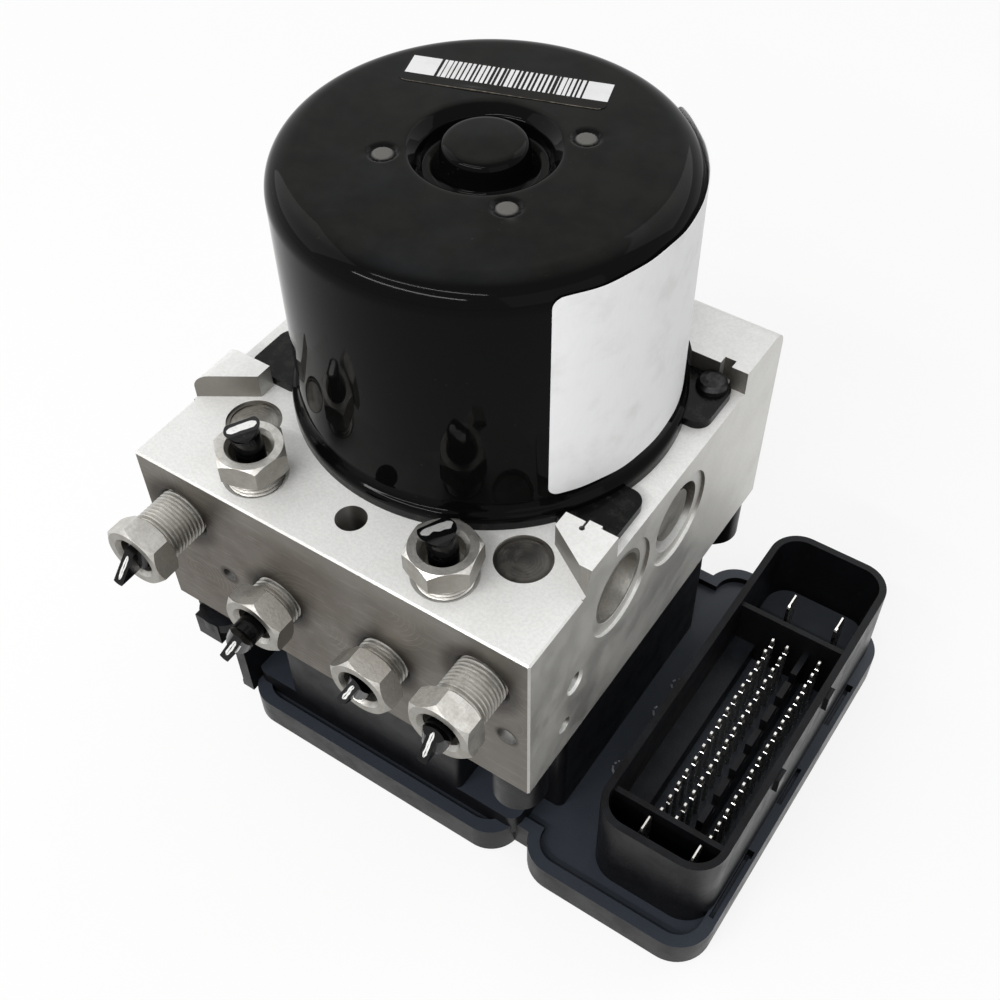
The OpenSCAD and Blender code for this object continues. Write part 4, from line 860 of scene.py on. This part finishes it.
# The film's small fold: its height, then its middle and its reach along and across the label
FOLD = (0.16, -5.5, 2.6, -4.4, 0.7)


class MODULATOR_OT_top_label(bpy.types.Operator):
    """Lays the clear film with its white end blocks and uneven bars on the can's end"""
    bl_idname = "modulator.top_label"
    bl_label = "Top label"

    def execute(self, context):
        sizes = context.scene.modulator_labels
        colours = context.scene.modulator_colours
        length, width, corner = TOP_LABEL_SIZE
        turned = Matrix.Rotation(math.radians(TOP_LABEL_TURN), 4, "Z")
        lay = Matrix.Translation(at_block(*TOP_LABEL_AT)) @ turned

        def placed(u, v, h):
            return lay @ (Vector((u, v, h)) * MM)

        def pleat(u, v):
            """The film's small fold at its lower edge."""
            height, middle, reach, middle_up, reach_up = FOLD
            return height * math.exp(-((u - middle) / reach) ** 2 - ((v - middle_up) / reach_up) ** 2)

        grids = []
        for raised in FILM_FACES:
            grid = []
            for s in crowded(60, length):
                row = []
                for j in range(25):
                    v = cut_outline(s, j / 24, length, width, corner, 0.0, 0.0) - width / 2
                    row.append(placed(s - length / 2, v, raised + pleat(s - length / 2, v)))
                grid.append(row)
            grids.append(grid)
        film = gloss_coating("clear_film_on_coating", colours.coating, "#1D1C1A")
        finished("top_label_film", sheet_mesh("top_label_film", *grids), film, "label_film", "top_label")
        glue = plain_finish(*GLUE_EDGE)
        sections = []
        for i in range(61):
            u = -length / 2 + corner / 2 + (length - corner) * i / 60
            s = u + length / 2
            v = cut_outline(s, 0.0, length, width, corner, 0.0, 0.0) - width / 2 + 0.05 * wander(u, 1.0)
            half = 0.07 + 0.04 * wander(u, 3.0)
            foot, top = GLUE_FACES[0], GLUE_FACES[1] + pleat(u, v)
            sections.append([placed(u, v - half, foot), placed(u, v + half, foot),
                             placed(u, v + half, top), placed(u, v - half, top)])
        finished("top_label_edge", lofted_mesh("top_label_edge", [sections]), glue, "label_film")
        white = label_film(colours.label)
        low, high = PRINT_LOW, PRINT_LOW + sizes.bar_height / MM
        pitch = BARS_SPAN / sizes.bars
        mesh = grown_mesh("top_label_bars", white, {
            "Pitch": pitch * MM, "Bars": sizes.bars, "Height": sizes.bar_height,
            "Thickness": 0.03 * MM, "Seed": sizes.seed,
        }, printed_bars)
        middle = Vector((BARS_START + pitch / 2, (low + high) / 2, PRINT_RISE)) * MM
        mesh.transform(lay @ Matrix.Translation(middle))
        finished("top_label_bars", mesh, white, "label_white")
        foot, top = BLOCK_FACES
        blocks = [[[placed(u, low, foot), placed(u, high, foot), placed(u, high, top), placed(u, low, top)]
                   for u in ends] for ends in WHITE_BLOCKS]
        finished("top_label_blocks", lofted_mesh("top_label_blocks", blocks), white, "label_white")
        return {"FINISHED"}


PIN_ROWS = (122.0, 125.9, 134.5)
PIN_START = 21.2
PIN_FOOT = -41.4
PIN_TOP = -17.0
PIN_LEAN = [0.003, 0.003, 0.02]
# A pin's tip and ledge as shares of its corner radius, and its depth along the row as a share of its width
TIP_SHARE = 0.7
LEDGE_SHARE = 1.35
PIN_DEPTH = 1.4
# The blades' corners nearest the front left, and their sections: height, half thickness, end taken off
BLADES = [(121.2, 12.6), (121.2, 86.3), (134.0, 12.6), (134.0, 86.3)]
BLADE_WIDTH = 5.0
BLADE_SECTIONS = ((-41.0, 0.4, 0.0), (-15.4, 0.4, 0.0), (-14.9, 0.34, 0.25), (-14.4, 0.2, 0.7))


def contact_pins(tree, given):
    """Rows of pins with blunt tips and a small ledge, each a little out of true."""
    corner, narrow, broad = (
        reckon(tree, "MULTIPLY", given["Pin width"], math.sqrt(0.5) * share)
        for share in (1.0, TIP_SHARE, LEDGE_SHARE))
    lower = reckon(tree, "SUBTRACT", given["Shank"], given["Ledge drop"])
    parts = []
    for top, bottom, depth, lift in ((corner, corner, "Shank", 0.0), (corner, broad, "Ledge", lower),
                                     (narrow, corner, "Tip", given["Shank"])):
        part = add(tree, "GeometryNodeMeshCone", None, {
            "Vertices": 4, "Radius Top": top, "Radius Bottom": bottom, "Depth": given[depth]})
        above = add(tree, "ShaderNodeCombineXYZ", None, {"Z": lift})
        parts.append(add(tree, "GeometryNodeTransform", None, {
            "Geometry": part.outputs["Mesh"], "Translation": above}))
    pin = add(tree, "GeometryNodeJoinGeometry", None, {0: tuple(parts)})
    pin = add(tree, "GeometryNodeTransform", None, {"Geometry": pin, "Rotation": [0, 0, math.radians(45)]})
    pin = add(tree, "GeometryNodeTransform", None, {"Geometry": pin, "Scale": [1.0, PIN_DEPTH, 1.0]})
    step = add(tree, "ShaderNodeCombineXYZ", None, {"Y": given["Pitch"]})
    rows = tuple(
        add(tree, "GeometryNodeMeshLine", None, {
            "Count": given["Pins per row"], "Start Location": at_block(x, PIN_START, PIN_FOOT), "Offset": step})
        for x in PIN_ROWS)
    spots = add(tree, "GeometryNodeJoinGeometry", None, {0: rows})
    lean = add(tree, "FunctionNodeRandomValue", {"data_type": "FLOAT_VECTOR"}, {
        0: [-turn for turn in PIN_LEAN], 1: PIN_LEAN, "Seed": given["Seed"]})
    return add(tree, "GeometryNodeInstanceOnPoints", None, {
        "Points": spots, "Instance": pin, "Rotation": lean.outputs[0]})


class MODULATOR_OT_contacts(bpy.types.Operator):
    """Makes the connector's pins and blades with tapered tips"""
    bl_idname = "modulator.contacts"
    bl_label = "Contacts"

    def execute(self, context):
        sizes = context.scene.modulator_contacts
        tin = tinned_brass(context.scene.modulator_colours.tin)
        shank = (PIN_TOP - PIN_FOOT) * MM - sizes.tip
        mesh = grown_mesh("contact_pins", tin, {
            "Pin width": sizes.pin_width, "Pitch": sizes.pitch, "Pins per row": sizes.per_row,
            "Tip": sizes.tip, "Shank": shank, "Ledge": 0.15 * MM, "Ledge drop": 1.9 * MM, "Seed": 3,
        }, contact_pins)
        finished("contact_pins", mesh, tin, "tinned_brass", "connector_pins")
        solids = []
        for x, y in BLADES:
            sections = []
            for z, thin, short in BLADE_SECTIONS:
                near, far = y + short, y + BLADE_WIDTH - short
                sections.append([at_block(x - thin, near, z), at_block(x + thin, near, z),
                                 at_block(x + thin, far, z), at_block(x - thin, far, z)])
            solids.append(sections)
        mesh = lofted_mesh("contact_blades", solids)
        finished("contact_blades", mesh, tin, "tinned_brass", "connector_blades")
        return {"FINISHED"}


FRONT = Matrix.Rotation(math.radians(90), 4, "X")
# Each pipe end: its port, the way out, the nut's reach, then as in the part's source the bend, its way, its
# place from the mouth, the straight after it, the way, slant and length of the blade
PIPE_ENDS = {
    "outer_left": ((10.2, 0, 34.4), FRONT, 15.0, 0, 0, -3.0, 0, 77, 29, 6.0),
    "inner_left": ((34.5, 0, 21.0), FRONT, 8.6, 0, 0, 3.0, 0, 65, 21, 3.7),
    "inner_right": ((63.5, 0, 21.0), FRONT, 8.8, 14, 180, -4.4, 1.2, 68, 23, 3.7),
    "outer_right": ((88.6, 0, 34.4), FRONT, 14.2, 0, 0, 0.0, 0, 83, 29, 3.1),
    "top_left": ((25.8, 9.4, 48), Matrix.Identity(4), 8.6, 12, 180, -1.0, 2.3, 53, 0, 2.2),
    "top_right": ((74.2, 9.4, 48), Matrix.Identity(4), 8.6, 12, 180, -1.0, 2.2, 60, 6, 2.2),
}
# Bare metal on each cut: middle along and across the cut face, height over it, length, width, raggedness of
# its two sides, and the depth of the seam between the folded walls
CUT_METAL = {
    "outer_left": [(0.0, 0.0, 0.0, 6.4, 0.8, 0.15, 0.15, 0.08)],
    "inner_left": [(0.0, 0.0, 0.0, 5.0, 0.95, 0.2, 0.2, 0.08), (0.3, -1.15, -0.9, 3.2, 0.55, 0.3, 0.3, 0.0)],
    "inner_right": [(0.0, 0.0, 0.0, 5.4, 0.9, 0.4, 0.3, 0.08)],
    "outer_right": [(0.0, 0.0, 0.0, 6.2, 0.85, 0.2, 0.2, 0.08)],
    "top_left": [(0.0, 0.0, 0.0, 6.3, 2.3, 0.08, 0.08, 0.0)],
    "top_right": [(0.0, 0.35, 0.0, 6.6, 2.0, 0.45, 0.08, 0.0)],
}
# The bend's radius, then a strip's steps along it and where its foot is sunk
PIPE_BEND = 5.1
CUT_STEPS = 26
CUT_SUNK = -0.2


def cut_place(port, way_out, reach, bend, way, past, straight, blade_way, slant, length):
    """The frame of a pipe's cut face: x along the blade, y across it, z out of the pipe."""
    place = Matrix.Translation(at_block(*port)) @ way_out
    place = place @ Matrix.Translation((0, 0, (reach + past) * MM))
    turn = 0.0
    if bend:
        turn = math.radians(way - 180)
        place = place @ Matrix.Rotation(turn, 4, "Z") @ Matrix.Translation((-PIPE_BEND * MM, 0, 0))
        place = place @ Matrix.Rotation(math.radians(-bend), 4, "Y")
        place = place @ Matrix.Translation((PIPE_BEND * MM, 0, straight * MM))
    place = place @ Matrix.Rotation(math.radians(blade_way) - turn, 4, "Z")
    return place @ Matrix.Translation((0, 0, length * MM)) @ Matrix.Rotation(math.radians(slant), 4, "Y")


class MODULATOR_OT_pipe_cuts(bpy.types.Operator):
    """Lays the bright sheared metal on the cut pipe ends"""
    bl_idname = "modulator.pipe_cuts"
    bl_label = "Pipe cuts"

    def execute(self, context):
        solids = []
        for name, strips in CUT_METAL.items():
            place = cut_place(*PIPE_ENDS[name])
            solids += [self.strip(place, len(solids), *strip) for strip in strips]
        mesh = lofted_mesh("pipe_cut_metal", solids)
        finished("pipe_cut_metal", mesh, cut_steel(), "zinc_steel")
        return {"FINISHED"}

    def strip(self, place, phase, along, across, over, length, width, ragged_low, ragged_high, seam):
        """A low ridge of two folded walls with the seam between them, as loops across it."""
        sections = []
        for i in range(CUT_STEPS + 1):
            share = i / CUT_STEPS
            u = along + length * (share - 0.5)
            swell = min(1.0, 5 * min(share, 1 - share) + 0.35)
            left = width / 2 * swell * (1 + ragged_low * wander(5 * u, phase))
            right = width / 2 * swell * (1 + ragged_high * wander(5 * u, phase + 2.0))
            high = 0.06 + 0.02 * wander(6 * u, phase + 4.0)
            heights = ((-left, CUT_SUNK), (-left, high * 0.6), (-left * 0.4, high), (0.0, high - seam),
                       (right * 0.4, high), (right, high * 0.6), (right, CUT_SUNK))
            sections.append([place @ (Vector((u, across + v, over + h)) * MM) for v, h in heights])
        return sections


# Moulding marks: middle, height, radius and the arcs of each ring that stand proud, in degrees
MOULD_RINGS = [
    ((104.2, 65.4), TRAY, 2.0, ((88, 124), (150, 172), (200, 232))),
    ((104.3, 55.7), TRAY, 2.0, ((86, 122), (148, 178), (196, 250))),
    ((104.3, 36.0), TRAY, 2.3, ((84, 120), (134, 146), (156, 172), (190, 252))),
    ((109.1, 63.2), LEDGE, 2.2, ((52, 84), (-50, -26))),
]
# Their height, where their foot is sunk, and half their width at the foot and on top
MARK_HEIGHT = 0.28
MARK_SUNK = -0.05
MARK_FOOT = 0.32
MARK_TOP = 0.16


class MODULATOR_OT_mould_marks(bpy.types.Operator):
    """Adds the broken rings that the ejector pins left in the tray, pale with painted highlight"""
    bl_idname = "modulator.mould_marks"
    bl_label = "Mould marks"

    def execute(self, context):
        solids = []
        for middle, base, radius, arcs in MOULD_RINGS:
            for start, stop in arcs:
                steps = max(4, int((stop - start) / 8))
                sections = []
                for i in range(steps + 1):
                    turn = math.radians(start + (stop - start) * i / steps)
                    high = MARK_HEIGHT * (0.4 + 0.6 * math.sin(math.pi * i / steps))
                    sections.append([
                        at_block(middle[0] + r * math.cos(turn), middle[1] + r * math.sin(turn), base + h)
                        for r, h in ((radius - MARK_FOOT, MARK_SUNK), (radius - MARK_TOP, high),
                                     (radius + MARK_TOP, high), (radius + MARK_FOOT, MARK_SUNK))])
                solids.append(sections)
        # The rings' pale grey is a painted highlight
        rubbed = plain_finish(*HIGHLIT_RING_EDGE)
        finished("mould_marks", lofted_mesh("mould_marks", solids), rubbed, "housing_plastic")
        return {"FINISHED"}


# The coil springs and the joints that press them together
SPRINGS = {
    "pump_spring": "pump_stroke",
    "accumulator_spring": "accumulator_stroke",
    "brush_spring": "brush_slide",
}


class MODULATOR_OT_springs(bpy.types.Operator):
    """Gives each of the six coil springs its own copy of its mesh"""
    bl_idname = "modulator.springs"
    bl_label = "Springs"

    def execute(self, context):
        for spring, joint in SPRINGS.items():
            for hand, way in (("right", 1), ("left", -1)):
                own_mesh(nodes[f"{spring}_{hand}"])
        return {"FINISHED"}


class MODULATOR_PT_panel(bpy.types.Panel):
    """Lists the steps and their sizes in the sidebar"""
    bl_label = "Modulator"
    bl_space_type = "VIEW_3D"
    bl_region_type = "UI"
    bl_category = "Modulator"

    def draw(self, context):
        layout = self.layout
        for step in STEPS:
            layout.operator(step.bl_idname)
        for name in GROUPS:
            group = getattr(context.scene, name)
            for key in group.__annotations__:
                layout.prop(group, key)


STEPS = [
    MODULATOR_OT_stage, MODULATOR_OT_finishes, MODULATOR_OT_can_shell, MODULATOR_OT_side_label,
    MODULATOR_OT_top_label, MODULATOR_OT_contacts, MODULATOR_OT_pipe_cuts, MODULATOR_OT_mould_marks,
    MODULATOR_OT_springs,
]
GROUPS = {
    "modulator_stage": ModulatorStage,
    "modulator_colours": ModulatorColours,
    "modulator_labels": ModulatorLabels,
    "modulator_can": ModulatorCan,
    "modulator_contacts": ModulatorContacts,
}
CLASSES = [*GROUPS.values(), *STEPS, MODULATOR_PT_panel]


def register():
    for each in CLASSES:
        bpy.utils.register_class(each)
    for name, group in GROUPS.items():
        setattr(bpy.types.Scene, name, PointerProperty(type=group))


def unregister():
    for name in GROUPS:
        delattr(bpy.types.Scene, name)
    for each in reversed(CLASSES):
        bpy.utils.unregister_class(each)


def main():
    register()
    for step in STEPS:
        group, name = step.bl_idname.split(".")
        getattr(getattr(bpy.ops, group), name)()


if __name__ == "__main__":
    main()
